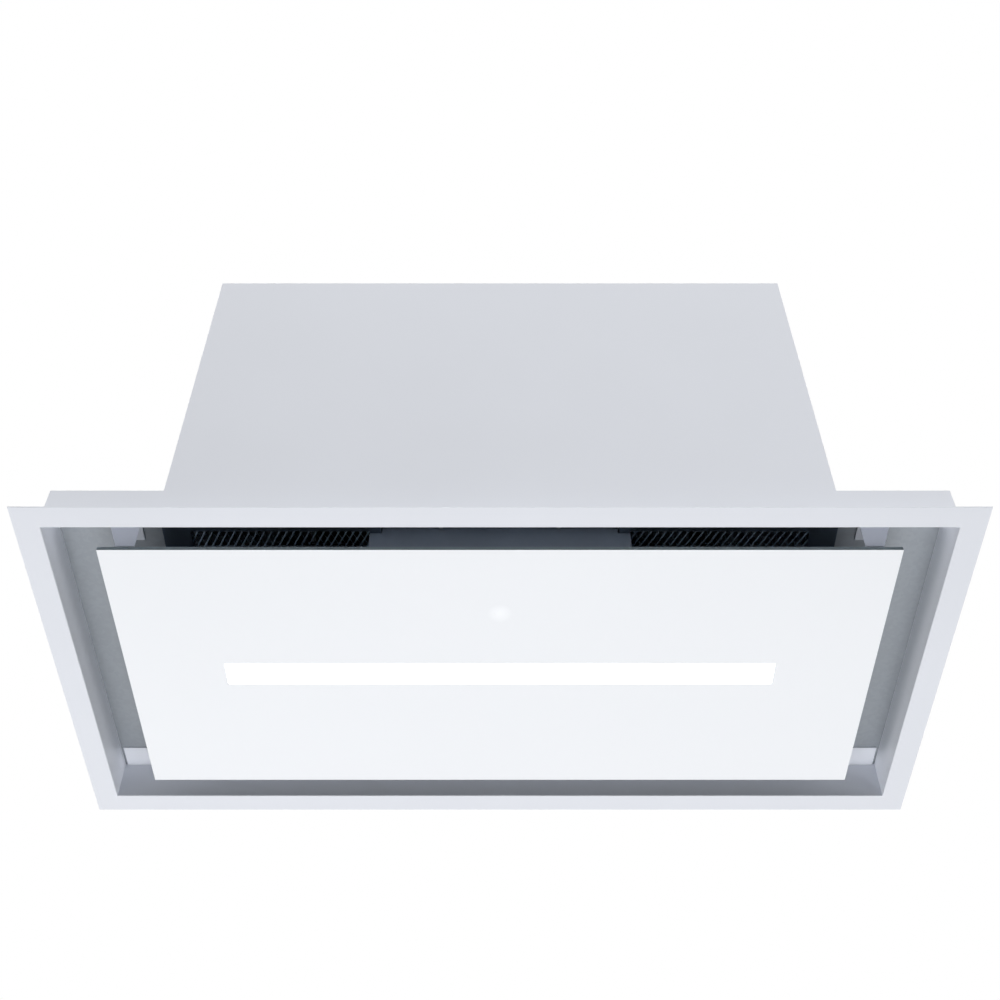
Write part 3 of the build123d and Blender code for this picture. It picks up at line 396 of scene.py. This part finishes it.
def turned(profile, steps=48):
    """A shape turned about Z from a profile of radius and height in millimetres.

    A profile that leaves the axis at both ends is a ring, whose two ends are joined."""
    bm = bmesh.new()
    verts = [bm.verts.new((radius * mm, 0, height * mm)) for radius, height in profile]
    edges = [bm.edges.new(ends) for ends in zip(verts, verts[1:])]
    if profile[0][0] and profile[-1][0]:
        edges.append(bm.edges.new((verts[-1], verts[0])))
    bmesh.ops.spin(bm, geom=verts + edges, axis=(0, 0, 1), cent=(0, 0, 0), steps=steps,
                   angle=2 * pi, use_merge=True)
    bmesh.ops.remove_doubles(bm, verts=bm.verts, dist=weld * mm)
    bmesh.ops.recalc_face_normals(bm, faces=bm.faces)
    return bm


def rod(radius, length, chamfer, steps):
    """A rod that stands on the origin, with both its ends chamfered."""
    return turned([(0, 0), (radius - chamfer, 0), (radius, chamfer), (radius, length - chamfer),
                   (radius - chamfer, length), (0, length)], steps)


def dome(radius, height, base):
    """Profile points of a shallow dome, from its rim up to the axis."""
    steps = 5
    turns = [i / steps * pi / 2 for i in range(steps)]
    return [(radius * cos(turn), base + height * sin(turn)) for turn in turns] + [(0, base + height)]


def rotated(bm, turn, axis="Z"):
    """The shape turned about an axis through the origin, in degrees."""
    bmesh.ops.transform(bm, matrix=Matrix.Rotation(radians(turn), 4, axis), verts=bm.verts)
    return bm


def moved(bm, *place):
    """The shape moved, in millimetres."""
    bmesh.ops.translate(bm, verts=bm.verts, vec=Vector(place) * mm)
    return bm


def joined(*shapes):
    """Several shapes in one mesh."""
    whole = bmesh.new()
    for shape in shapes:
        mesh = bpy.data.meshes.new("shape")
        shape.to_mesh(mesh)
        shape.free()
        whole.from_mesh(mesh)
        bpy.data.meshes.remove(mesh)
    return whole


def piece(name, bm, node, slot=None, sheet=0.0):
    """Makes a mesh a piece that stands for a node, on its body and in its finish.

    An open mesh gets a sheet's thickness, in millimetres. Shading keeps large faces flat."""
    mesh = bpy.data.meshes.new(name)
    bm.to_mesh(mesh)
    bm.free()
    mesh.shade_smooth()
    mesh.set_sharp_from_angle(angle=shading_crease)
    made = bpy.data.objects.new(name, mesh)
    bpy.context.scene.collection.objects.link(made)
    slot = slot or slot_of[node]
    mesh.materials.append(finishes[slot])
    if sheet:
        thicken = made.modifiers.new("sheet", "SOLIDIFY")
        thicken.thickness = sheet * mm
        thicken.offset = 0
    made.modifiers.new("flat_faces", "WEIGHTED_NORMAL").keep_sharp = True
    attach(made, body_of[node])
    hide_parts(node)


def softened(node, radius, segments=3):
    """Stands for a node with a copy whose edges are rounded."""
    piece(f"finished_{node}", soften(copy_of(node), radius, segments), node)


# ---- Trim frame, casing and sheet-metal brackets -------------------------------------------------
def trim_frame():
    """The frame, with a bend where the flange turns up into the recess walls."""
    bm = copy_of("trim_frame")
    casing = box_of("front_skin")[1].x
    level = 0.01
    mouth_bend, outer_edge, other_edges = 1.2, 0.5, 0.2

    def below(edge, inside):
        """Whether an edge of the flange's lower face bounds the opening or the outside."""
        ends = [vert.co / mm for vert in edge.verts]
        flat = all(abs(end.z) < level for end in ends)
        return flat and inside == all(abs(end.x) < casing for end in ends)

    soften(bm, mouth_bend, 5, lambda edge: below(edge, True))
    soften(bm, outer_edge, 3, lambda edge: below(edge, False))
    piece("finished_trim_frame", soften(bm, other_edges, 2), "trim_frame")


trim_frame()
for node in ("catch_bracket_right", "catch_bracket_left"):
    softened(node, thin_strip_edge, 2)
for node in ("front_skin", "rear_skin", "collar_side_right", "collar_side_left", "box_side_right",
             "box_side_left", "top_plate", "ceiling_plate", "hanger_rail_right", "hanger_rail_left",
             "centre_housing", "panel_tray", "light_channel", "scroll_wrap", "scroll_side_right",
             "scroll_side_left", "outlet_flange", "capacitor_strap"):
    softened(node, sheet_edge)
for node in ("hinge_bracket_right", "hinge_bracket_left", "hinge_knuckles", "motor_spider",
             "filter_magnets", "filter_frame_right", "filter_frame_left"):
    softened(node, plate_edge)
for node in ("terminal_box", "terminal_cover", "gland_nut"):
    softened(node, moulded_edge)


# ---- Fasteners -----------------------------------------------------------------------------------
def pan_head(radius, height, shank, length):
    """A screw that stands on its seat at the origin, head up, with a cross in its head."""
    bm = bmesh.new()
    tip = [(0, -length), (0.7 * shank, -length), (shank, shank - length), (shank, 0)]
    head = [(radius, 0), (radius, 0.35 * height), (0.9 * radius, 0.75 * height), (0.68 * radius, height)]
    verts = [bm.verts.new((r * mm, 0, z * mm)) for r, z in tip + head]
    edges = [bm.edges.new(ends) for ends in zip(verts, verts[1:])]
    bmesh.ops.spin(bm, geom=verts + edges, axis=(0, 0, 1), cent=(0, 0, 0), steps=24, angle=2 * pi,
                   use_merge=True)
    bmesh.ops.remove_doubles(bm, verts=bm.verts, dist=weld * mm)
    rim = [edge for edge in bm.edges if edge.is_boundary]
    arm, half = 0.52 * radius, 0.13 * radius
    corners = [(arm, -half), (arm, half), (half, half)]
    cross = []
    for quarter in range(4):
        turn = Matrix.Rotation(quarter * pi / 2, 2)
        cross += [turn @ Vector(corner) for corner in corners]
    recess = [bm.verts.new((x * mm, y * mm, height * mm)) for x, y in cross]
    lip = [bm.edges.new((recess[i - 1], recess[i])) for i in range(len(recess))]
    bmesh.ops.bridge_loops(bm, edges=rim + lip)
    floor = bm.faces.new(recess)
    bmesh.ops.recalc_face_normals(bm, faces=bm.faces)
    bmesh.ops.inset_region(bm, faces=[floor], thickness=0.06 * radius * mm, depth=-0.6 * height * mm)
    return bm


def screws(node, up, head_height=pan_height):
    """Stands for a node of screws. Each head keeps its seat and has its own turn of the cross."""
    cross_turn = 37
    made = []
    for i, (low, high) in enumerate(solids_of(node)):
        radius = (high.x - low.x) / 2
        screw = pan_head(radius, head_height, radius / 2, high.z - low.z - pan_height)
        screw = rotated(screw, cross_turn * i)
        screw = rotated(screw, 0 if up else 180, "X")
        seat = high.z - pan_height if up else low.z + pan_height
        made.append(moved(screw, (low.x + high.x) / 2, (low.y + high.y) / 2, seat))
    piece(f"finished_{node}", joined(*made), node)


screws("spigot_screws", up=True)
screws("outlet_screws", up=True)
screws("bracket_screws", up=False, head_height=1.5)


def hinge_pins():
    """Turned pins with a domed head and a chamfered end."""
    shank, chamfer, head_length, crown = 2.5, 0.6, 1.5, 0.9
    made = []
    for low, high in solids_of("hinge_pins"):
        length = high.x - low.x
        head = (high.y - low.y) / 2
        profile = [(0, 0), (shank - chamfer, 0), (shank, chamfer), (shank, length - head_length),
                   (head, length - head_length)]
        pin = turned(profile + dome(head, crown, length - crown), 32)
        right = low.x > 0
        pin = rotated(pin, 90 if right else -90, "Y")
        tip = low.x if right else high.x
        made.append(moved(pin, tip, (low.y + high.y) / 2, (low.z + high.z) / 2))
    piece("finished_hinge_pins", joined(*made), "hinge_pins")


def round_parts(node, profile_of):
    """Stands for upright round solids with turned ones. The profile is worked out from each size."""
    made = []
    for low, high in solids_of(node):
        part = turned(profile_of((high.x - low.x) / 2, high.z - low.z))
        made.append(moved(part, (low.x + high.x) / 2, (low.y + high.y) / 2, low.z))
    piece(f"finished_{node}", joined(*made), node)


def pot_magnet(radius, height):
    """A magnet in a steel cup, with the ring groove between them on its lower face."""
    return [(0, 0), (radius - 2.4, 0), (radius - 2.2, 0.5), (radius - 1.4, 0.5), (radius - 1.2, 0),
            (radius - 0.4, 0), (radius, 0.4), (radius, height - 0.4), (radius - 0.4, height), (0, height)]


def strike_disc(radius, height):
    """A chamfered disc with a shallow dished middle on top."""
    chamfer = min(0.3, height / 3)
    dish = height - 0.25
    return [(0, 0), (radius, 0), (radius, height - chamfer), (radius - chamfer, height),
            (0.45 * radius, height), (0.4 * radius, dish), (0, dish)]


hinge_pins()
round_parts("catch_magnets", pot_magnet)
round_parts("strike_plates", strike_disc)


# ---- Glass panel with its light and indicator ----------------------------------------------------
def chip_housing(low, high):
    """A chip's housing: a block with a tray in its lower face for the gel."""
    margin = Vector((0.4, 0.4, 0))
    wall, slope, tray_depth = 0.6, 0.3, 0.4
    bm = block(low - margin, high + margin)
    lower = [face for face in bm.faces if face.normal.z < -0.5]
    bmesh.ops.inset_region(bm, faces=lower, thickness=wall * mm, depth=0)
    bmesh.ops.inset_region(bm, faces=lower, thickness=slope * mm, depth=-tray_depth * mm)
    return bm


def chip_gel(low, high):
    """The gel in a chip's tray, sunk a little behind its rim."""
    inset, sunk, depth = 0.6, 0.15, 0.3
    face = low.z + sunk
    return block((low.x + inset, low.y + inset, face), (high.x - inset, high.y - inset, face + depth), 0.1)


def light_board():
    """The light's circuit board: a strip with its chips between solder pads."""
    low, high = box_of("light_board")
    chips = solids_of("light_chips")
    reach, half_x, half_y = 4.2, 1, 1.6
    pads = []
    for chip_low, chip_high in chips:
        middle = (chip_low + chip_high) / 2
        for side in (-1, 1):
            x = middle.x + side * reach
            pads.append(block((x - half_x, middle.y - half_y, low.z - 0.12),
                              (x + half_x, middle.y + half_y, low.z + 0.1)))
    piece("chip_housings", joined(*[chip_housing(*ends) for ends in chips]), "light_chips",
          slot="grey_plastic")
    piece("finished_light_chips", joined(*[chip_gel(*ends) for ends in chips]), "light_chips")
    piece("board_pads", joined(*pads), "light_board", slot="zinc_steel")
    piece("finished_light_board", block(low, high, 0.15), "light_board")


def indicator_lens():
    """The lens: a flat face flush in the glass, on a collar that rests on the glass's back."""
    low, high = box_of("indicator_lens")
    collar, height = (high.x - low.x) / 2, high.z - low.z
    stem = box_of("glass_panel")[1].z - low.z
    face, face_chamfer, collar_chamfer = 5.97, 0.05, 0.3
    profile = [(0, 0), (face - face_chamfer, 0), (face, face_chamfer), (face, stem),
               (collar - collar_chamfer, stem), (collar, stem + collar_chamfer), (collar, height),
               (0, height)]
    lens = moved(turned(profile, 64), (low.x + high.x) / 2, (low.y + high.y) / 2, low.z)
    piece("finished_indicator_lens", lens, "indicator_lens")


def sensor_board():
    """The sensor's little board, with a chip on its legs and a socket for the cable."""
    low, high = box_of("sensor_board")
    x, y, deck = (low.x + high.x) / 2, (low.y + high.y) / 2, high.z
    softened("sensor_board", 0.15, 2)
    chip = block((x - 9, y - 5, deck), (x - 1, y + 3, deck + 1.4), 0.2)
    socket = block((x + 4, y - 6, deck), (x + 11, y + 6, deck + 3.5), 0.4)
    rows, pitch, reach = 6, 1.27, 4.4
    chip_x, first_y = x - 5, y - 4.2
    legs = []
    for i in range(rows):
        leg_y = first_y + i * pitch
        for side in (-1, 1):
            leg_x = chip_x + side * reach
            legs.append(block((leg_x - 0.8, leg_y - 0.25, deck), (leg_x + 0.8, leg_y + 0.25, deck + 0.3)))
    piece("sensor_chip", chip, "sensor_board", slot="black_plastic")
    piece("sensor_socket", socket, "sensor_board", slot="grey_plastic")
    piece("sensor_legs", joined(*legs), "sensor_board", slot="zinc_steel")


def glass_panel():
    """The glass, with ground edges all round and a crisp hole for the indicator's lens."""
    ground_edge = 0.5
    low, high = box_of("indicator_lens")
    middle = (low + high) / 2

    def outside(edge):
        """Whether an edge lies away from the indicator's hole."""
        return all((vert.co / mm - middle).xy.length > high.x - low.x for vert in edge.verts)

    glass = soften(copy_of("glass_panel"), ground_edge, 2, outside)
    piece("finished_glass_panel", glass, "glass_panel")


glass_panel()
softened("light_diffuser", 0.25, 2)
light_board()
indicator_lens()
sensor_board()


# ---- Filters -------------------------------------------------------------------------------------
def expanded_sheet(low, high, lean, z0, z1, strand):
    """One sheet of expanded metal: slim leaning gaps between strands that are twisted edge up."""
    columns, rows, lap, twist = 24, 13, 6, 0.7
    pitch_x = (high.x - low.x - 2 * lap) / columns
    pitch_y = (high.y - low.y - 2 * lap) / rows
    spare = int(abs(tan(lean)) * (high.y - low.y) / 2 / pitch_x) + 2
    across = columns + 2 * spare
    bm = bmesh.new()
    bmesh.ops.create_grid(bm, x_segments=across, y_segments=rows, size=0.5)
    bmesh.ops.scale(bm, vec=(across * pitch_x * mm, rows * pitch_y * mm, 1), verts=bm.verts)
    shear = Matrix.Identity(4)
    shear[0][1] = tan(lean)
    bmesh.ops.transform(bm, matrix=shear, verts=bm.verts)
    cells = bm.faces[:]
    bmesh.ops.inset_individual(bm, faces=cells, thickness=strand / 2 * mm)
    rise = twist * (z1 - z0) / 2 * mm
    for cell in cells:
        middle = cell.calc_center_median()
        for vert in cell.verts:
            side = vert.co.x - middle.x - (vert.co.y - middle.y) * tan(lean)
            vert.co.z += rise if side > 0 else -rise
    bmesh.ops.delete(bm, geom=cells, context="FACES_ONLY")
    moved(bm, (low.x + high.x) / 2, (low.y + high.y) / 2, (z0 + z1) / 2)
    for x, facing in ((low.x, -1), (high.x, 1)):
        everything = bm.verts[:] + bm.edges[:] + bm.faces[:]
        bmesh.ops.bisect_plane(bm, geom=everything, plane_co=(x * mm, 0, 0), plane_no=(facing, 0, 0),
                               clear_outer=True)
    return bm


def filter_mesh(side):
    """A filter's two sheets of expanded metal, leaning opposite ways."""
    node = f"filter_mesh_{side}"
    low, high = box_of(node)
    lean, depth = radians(26), 1.2
    broad_strand, slim_strand = 2.3, 1.2
    lower = expanded_sheet(low, high, -lean, low.z, low.z + depth, broad_strand)
    upper = expanded_sheet(low, high, lean, high.z - depth, high.z, slim_strand)
    piece(f"finished_{node}", joined(lower, upper), node, sheet=0.45)


for side in ("right", "left"):
    filter_mesh(side)
    softened(f"filter_grip_{side}", 0.45)


# ---- Blower --------------------------------------------------------------------------------------
def wheel_body(radius, inner, half):
    """The wheel without its blades: two rolled rings, a dished disc and its hub."""
    ring = [(inner, half - 3), (inner + 1, half), (radius - 2, half), (radius, half - 1.5),
            (radius, half - 6), (radius - 1, half - 6), (radius - 1.2, half - 3)]
    rings = [rotated(turned(ring, 72), turn, "X") for turn in (0, 180)]
    disc = [(14, -1), (30, -1), (38, -4), (60, -4), (radius - 12, -1), (radius - 12, 1), (60, -2.4),
            (38, -2.4), (30, 1), (14, 1)]
    hub = [(5, -10), (13, -10), (14, -9), (14, 9), (13, 10), (5, 10)]
    return joined(*rings, turned(disc, 72), turned(hub))


def wheel_blade(inner, depth, reach):
    """One blade: a strip bent to an arc, drawn up from ring to ring."""
    curve, steps = radians(70), 6
    bend = depth / (2 * sin(curve / 2))
    bm = bmesh.new()
    row = []
    for i in range(steps + 1):
        turn = -curve / 2 + curve * i / steps
        x = bend * (cos(turn) - cos(curve / 2))
        y = inner + depth / 2 + bend * sin(turn)
        row.append(bm.verts.new((x * mm, y * mm, -reach * mm)))
    edges = [bm.edges.new(ends) for ends in zip(row, row[1:])]
    made = bmesh.ops.extrude_edge_only(bm, edges=edges)["geom"]
    raised = [item for item in made if isinstance(item, bmesh.types.BMVert)]
    bmesh.ops.translate(bm, verts=raised, vec=(0, 0, 2 * reach * mm))
    return bm


def blower_wheel():
    """The wheel: curved blades between rolled rings, on a dished disc with its hub."""
    low, high = box_of("impeller")
    middle = (low + high) / 2
    radius, half = (high.y - low.y) / 2, (high.x - low.x) / 2
    count, ring_width, clear = 28, 16, 1
    inner = radius - ring_width
    blades = []
    for i in range(count):
        blade = wheel_blade(inner, ring_width - clear, half - 2)
        blades.append(rotated(blade, 360 * i / count))
    body = rotated(wheel_body(radius, inner, half), 90, "Y")
    piece("finished_impeller", moved(body, *middle), "impeller")
    piece("wheel_blades", moved(rotated(joined(*blades), 90, "Y"), *middle), "impeller", sheet=0.8)


def motor():
    """The motor: a grooved stator between two ribbed end bells with bearing bosses."""
    low, high = box_of("motor")
    half, radius = (high.x - low.x) / 2, (high.y - low.y) / 2
    bell_depth, boss, boss_height = 12, 12, 4
    end = half - boss_height
    body = end - bell_depth
    bell = [(5.1, -half), (boss - 1, -half), (boss, 1 - half), (boss, -end - 0.6), (boss + 2, -end),
            (radius - 12, -end), (radius - 8, 2 - end), (radius - 8, -body - 1),
            (radius - 1, -body - 1), (radius, -body)]
    bands = 9
    grooves = []
    for i in range(1, bands):
        z = -body + i * 2 * body / bands
        grooves += [(radius, z - 0.5), (radius - 1, z - 0.2), (radius - 1, z + 0.2), (radius, z + 0.5)]
    other_bell = [(r, -z) for r, z in reversed(bell)]
    rib_count, rib_half = 12, 1.2
    ribs = []
    for i in range(rib_count):
        for side in (-1, 1):
            base, top = sorted((side * (body + 1), side * (end + 0.6)))
            rib = block((boss + 4, -rib_half, base), (radius - 5, rib_half, top), 0.4)
            ribs.append(rotated(rib, 360 / rib_count * i))
    whole = joined(turned(bell + grooves + other_bell, 72), *ribs)
    piece("finished_motor", moved(rotated(whole, 90, "Y"), *(low + high) / 2), "motor")


def motor_shaft():
    """The shaft, with chamfered ends."""
    low, high = box_of("motor_shaft")
    shaft = rotated(rod((high.y - low.y) / 2, high.x - low.x, 0.8, 40), 90, "Y")
    moved(shaft, low.x, (low.y + high.y) / 2, (low.z + high.z) / 2)
    piece("finished_motor_shaft", shaft, "motor_shaft")


blower_wheel()
motor()
motor_shaft()


# ---- Duct outlet ---------------------------------------------------------------------------------
def duct_spigot():
    """The moulded spigot, with a rolled bead, a grip ring and gussets down to its flange."""
    low, high = box_of("duct_spigot")
    outer, sunk = 74.5, 0.2
    bead = [(outer - sunk, high.z - 6), (outer + 1.2, high.z - 5), (outer + 1.6, high.z - 3.5),
            (outer + 1.2, high.z - 2), (outer - sunk, high.z - 1)]
    ring = [(outer - sunk, low.z + 22), (outer + 1.5, low.z + 22.4), (outer + 1.5, low.z + 24.6),
            (outer - sunk, low.z + 25)]
    count, thickness = 12, 1.8
    wall, flange_top, flange_rim = outer - 0.3, low.z + 2.2, high.x - 3
    outline = [(wall, flange_top), (flange_rim, flange_top), (wall, low.z + 18)]
    gussets = []
    for i in range(count):
        gusset = rotated(prism(outline, -thickness / 2, thickness / 2, 0.3), 90, "X")
        gussets.append(rotated(gusset, 360 * (i + 0.5) / count))
    shell = soften(copy_of("duct_spigot"), 0.5)
    spigot = joined(shell, turned(bead, 96), turned(ring, 96), *gussets)
    piece("finished_duct_spigot", spigot, "duct_spigot")


def flap(side):
    """A non-return flap with low stiffening ribs."""
    node = f"flap_{side}"
    low, high = box_of(node)
    sign, edge = (1, high.x) if side == "right" else (-1, -low.x)
    top = (low.z + high.z) / 2 + 0.5
    margin, rib_half = 8, 0.8
    ribs = []
    for y in (-34, 0, 34):
        reach = edge * cos(y / 70) - margin
        start, end = sorted((sign * margin, sign * reach))
        ribs.append(block((start, y - rib_half, top - 0.3), (end, y + rib_half, top + 1.2), 0.3))
    piece(f"finished_{node}", joined(soften(copy_of(node), 0.25, 2), *ribs), node)


def flap_pin():
    """The wire that carries both flaps, with chamfered ends."""
    low, high = box_of("flap_pin")
    wire = rotated(rod((high.x - low.x) / 2, high.y - low.y, 0.5, 24), -90, "X")
    piece("finished_flap_pin", moved(wire, 0, low.y, (low.z + high.z) / 2), "flap_pin")


duct_spigot()
flap("right")
flap("left")
flap_pin()


# ---- Mains entry, capacitor and electronics ------------------------------------------------------
def cable_gland():
    """The gland, with ribs round its nut, its thread, and a soft seal round the cable's way in."""
    low, high = box_of("cable_gland")
    x, y = (low.x + high.x) / 2, (low.y + high.y) / 2
    seat = box_of("top_plate")[1].z
    shell = soften(copy_of("cable_gland"), 0.6)
    rib_count = 18
    ribs = []
    for i in range(rib_count):
        rib = block((9.6, -0.6, seat + 6), (10.7, 0.6, seat + 15), 0.25)
        ribs.append(moved(rotated(rib, 360 / rib_count * i), x, y, 0))
    thread, pitch = low.z + 0.6, 1.6
    threads = []
    for z in (thread, thread + pitch, thread + 2 * pitch):
        threads.append(moved(turned([(9.8, z), (10.4, z + 0.5), (9.8, z + 1)], 36), x, y, 0))
    bore, rim = 5, 7.4
    seal = [(bore, high.z - 1), (rim, high.z - 1), (rim, high.z + 0.1), (rim - 0.2, high.z + 0.3),
            (bore, high.z + 0.3)]
    piece("gland_seal", moved(turned(seal, 36), x, y, 0), "cable_gland", slot="grey_plastic")
    piece("finished_cable_gland", joined(shell, *ribs, *threads), "cable_gland")


def terminal_strip():
    """The mains terminals: a moulded block with a plated clamp screw for each of three wires."""
    low, high = box_of("terminal_strip")
    x, y = (low.x + high.x) / 2, (low.y + high.y) / 2
    count, pitch = 3, 17
    heads = []
    for i in range(count):
        head = rotated(pan_head(2.9, 1.6, 1.5, 4), 180, "X")
        heads.append(moved(head, x, y + (i - (count - 1) / 2) * pitch, low.z + 5))
    piece("terminal_clamps", joined(*heads), "terminal_strip", slot="zinc_steel")
    softened("terminal_strip", 0.5, 2)


def run_capacitor():
    """The capacitor: a drawn can with a rolled seam round its head, and two tabs."""
    low, high = box_of("run_capacitor")
    radius = (high.y - low.y) / 2
    x, y = (low.x + high.x) / 2, (low.y + high.y) / 2
    tab_length, tab_reach = 9, 7
    z0 = low.z + tab_length
    can = [(0, z0 + 1), (radius - 3, z0 + 1), (radius - 2, z0), (radius - 0.6, z0), (radius, z0 + 0.8),
           (radius, z0 + 2.2), (radius - 0.8, z0 + 3.4), (radius - 0.8, z0 + 4.6), (radius, z0 + 5.8),
           (radius, high.z - 1.2), (radius - 1.2, high.z), (0, high.z)]
    head = [(0, z0 - 1.2), (5, z0 - 1.2), (13, z0 - 0.4), (14, z0 + 1.5), (0, z0 + 1.5)]
    tabs = []
    for side in (-1, 1):
        tab_x = x + side * tab_reach
        tabs.append(block((tab_x - 0.5, y - 3, low.z), (tab_x + 0.5, y + 3, z0 + 1.5), 0.25))
    piece("capacitor_tabs", joined(*tabs), "run_capacitor", slot="zinc_steel")
    piece("capacitor_head", moved(turned(head), x, y, 0), "run_capacitor", slot="black_plastic")
    piece("finished_run_capacitor", moved(turned(can, 64), x, y, 0), "run_capacitor")


def board_on_posts(low, high, post, sheet):
    """A bare board on four posts, whose tapered tips come through it."""
    deck, inset = low.z + post + sheet, 6
    profile = [(0, 0), (3, 0), (3, post), (1.4, post + 3), (0, post + 3)]
    shapes = [block((low.x, low.y, deck - sheet), (high.x, high.y, deck), 0.2)]
    for x in (low.x + inset, high.x - inset):
        for y in (low.y + inset, high.y - inset):
            shapes.append(moved(turned(profile, 24), x, y, low.z))
    return joined(*shapes)


def board_plug(x, deck):
    """A plug's shell, open at its top."""
    wall, draft, pocket = 1.0, 0.1, 6
    shell = block((x + 0.4, 24, deck), (x + 9.6, 34, deck + 11), 0.5)
    upper = [face for face in shell.faces if face.normal.z > 0.9]
    bmesh.ops.inset_region(shell, faces=upper, thickness=wall * mm, depth=0)
    bmesh.ops.inset_region(shell, faces=upper, thickness=draft * mm, depth=-pocket * mm)
    return shell


def main_board():
    """The control board with its transformer, relays, plugs and smoothing capacitor."""
    low, high = box_of("main_board")
    post, sheet = 4, 1.2
    deck, middle = low.z + post + sheet, (low.x + high.x) / 2
    piece("finished_main_board", board_on_posts(low, high, post, sheet), "main_board")
    core = block((middle - 50, -25, deck), (middle - 18, 0, deck + 18), 0.6)
    winding = block((middle - 44, -31, deck + 3), (middle - 24, 6, deck + 15), 3, 4)
    relays = []
    for x in (middle - 5, middle + 15, middle + 35):
        relays.append(block((x, -32, deck), (x + 16, -4, deck + 14), 1.0, 3))
    can = [(0, 0), (7.4, 0), (8, 0.6), (8, 13), (7.5, 13.6), (8, 14.4), (7.6, 16), (6, 15.7), (0, 15.7)]
    plugs = [board_plug(middle - 50 + 10 * i, deck) for i in range(4)]
    piece("transformer_core", core, "main_board", slot="zinc_steel")
    piece("transformer_winding", winding, "main_board", slot="black_plastic")
    piece("relays", joined(*relays), "main_board", slot="black_plastic")
    piece("smoothing_capacitor", moved(turned(can, 40), middle + 10, 22, deck), "main_board",
          slot="can_aluminium")
    piece("board_plugs", joined(*plugs), "main_board", slot="grey_plastic")


def light_driver():
    """The light's power supply: a moulded case with cooling ribs across its top."""
    low, high = box_of("light_driver")
    x = (low.x + high.x) / 2
    pitch, end, rib_length, rib_width = 8, 48, 56, 2
    ribs = []
    for y in range(-end, end + 1, pitch):
        ribs.append(block((x - rib_length / 2, y - rib_width / 2, high.z - 0.3),
                          (x + rib_length / 2, y + rib_width / 2, high.z + 0.6), 0.3))
    case = soften(copy_of("light_driver"), moulded_edge)
    piece("finished_light_driver", joined(case, *ribs), "light_driver")


cable_gland()
terminal_strip()
run_capacitor()
main_board()
light_driver()


# ---- Studio, in metres ---------------------------------------------------------------------------
def background_rays(tree):
    """One for a ray of the camera, of a gloss or through a clear part, and zero for diffuse light."""
    path = tree.nodes.new("ShaderNodeLightPath")
    seen = path.outputs["Is Camera Ray"]
    for ray in ("Is Glossy Ray", "Is Transmission Ray"):
        either = tree.nodes.new("ShaderNodeMath")
        either.operation = "MAXIMUM"
        tree.links.new(seen, either.inputs[0])
        tree.links.new(path.outputs[ray], either.inputs[1])
        seen = either.outputs["Value"]
    return seen


def studio_floor(height, half_width, bounce, glow):
    """The floor under the hood: pale where it is seen, and dim in the light that it sends back up."""
    bm = bmesh.new()
    bmesh.ops.create_grid(bm, x_segments=1, y_segments=1, size=half_width)
    bmesh.ops.translate(bm, verts=bm.verts, vec=(0, 0, height))
    mesh = bpy.data.meshes.new("studio_floor")
    bm.to_mesh(mesh)
    bm.free()
    floor = bpy.data.objects.new("studio_floor", mesh)
    bpy.context.scene.collection.objects.link(floor)
    pale = (0.92, 0.92, 0.92)
    finish = Finish("studio_floor", pale, 0.9)
    seen = background_rays(finish.tree)
    finish.set("Base Color", finish.mix(seen, (bounce, bounce, bounce), pale))
    finish.set("Emission Color", (1, 1, 1, 1))
    finish.set("Emission Strength", finish.sum("MULTIPLY", seen, glow))
    mesh.materials.append(finish.material)


def studio_world(fill):
    """White where it is seen, and an even dimmer fill elsewhere."""
    world = bpy.data.worlds.new("studio")
    bpy.context.scene.world = world
    world.use_nodes = True
    tree = world.node_tree
    background = tree.nodes["Background"]
    level = tree.nodes.new("ShaderNodeMapRange")
    level.inputs["To Min"].default_value = fill
    level.inputs["To Max"].default_value = 1.0
    tree.links.new(background_rays(tree), level.inputs["Value"])
    tree.links.new(level.outputs["Result"], background.inputs["Strength"])
    background.inputs["Color"].default_value = (1, 1, 1, 1)


def soft_lamp(name, place, size, level):
    """A soft box that faces the hood. Its level is its brightness, and it doesn't show itself."""
    lamp = bpy.data.lights.new(name, "AREA")
    lamp.shape = "RECTANGLE"
    lamp.size, lamp.size_y = size
    lamp.energy = level * pi * size[0] * size[1]
    holder = bpy.data.objects.new(name, lamp)
    bpy.context.scene.collection.objects.link(holder)
    holder.location = place
    holder.rotation_euler = (-Vector(place)).to_track_quat("-Z", "Y").to_euler()
    holder.visible_camera = False


studio_floor(height=-2.0, half_width=30.0, bounce=0.08, glow=0.72)
studio_world(fill=0.3)
soft_lamp("low_box", (0, 0.2, -1.9), (1.6, 0.8), 4.6)
soft_lamp("low_rear_box", (0, 0.9, -1.8), (1.6, 0.6), 1.2)
soft_lamp("low_right_box", (2.2, 0, -1.3), (1.0, 1.0), 6.0)
soft_lamp("low_left_box", (-2.2, 0, -1.3), (1.0, 1.0), 7.4)
soft_lamp("front_box", (0.4, -4.0, 1.2), (2.4, 1.6), 8.2)
soft_lamp("rear_box", (0.6, 4.2, 1.6), (2.0, 1.6), 2.0)
soft_lamp("right_box", (4.0, 0.6, 1.8), (1.8, 1.8), 1.5)
soft_lamp("top_box", (0, 0.6, 3.4), (2.4, 2.0), 2.8)

# The camera stands in front of the hood and below it, and looks 49.31 degrees up.
look_up = 49.31
camera = bpy.data.cameras.new("camera")
camera.lens = 50.05
camera.sensor_width = 36
camera_holder = bpy.data.objects.new("camera", camera)
bpy.context.scene.collection.objects.link(camera_holder)
camera_holder.location = (0, -1.1745, -1.0637)
camera_holder.rotation_euler = (radians(90 + look_up), 0, 0)
bpy.context.scene.camera = camera_holder
bpy.context.scene.view_settings.view_transform = "Standard"
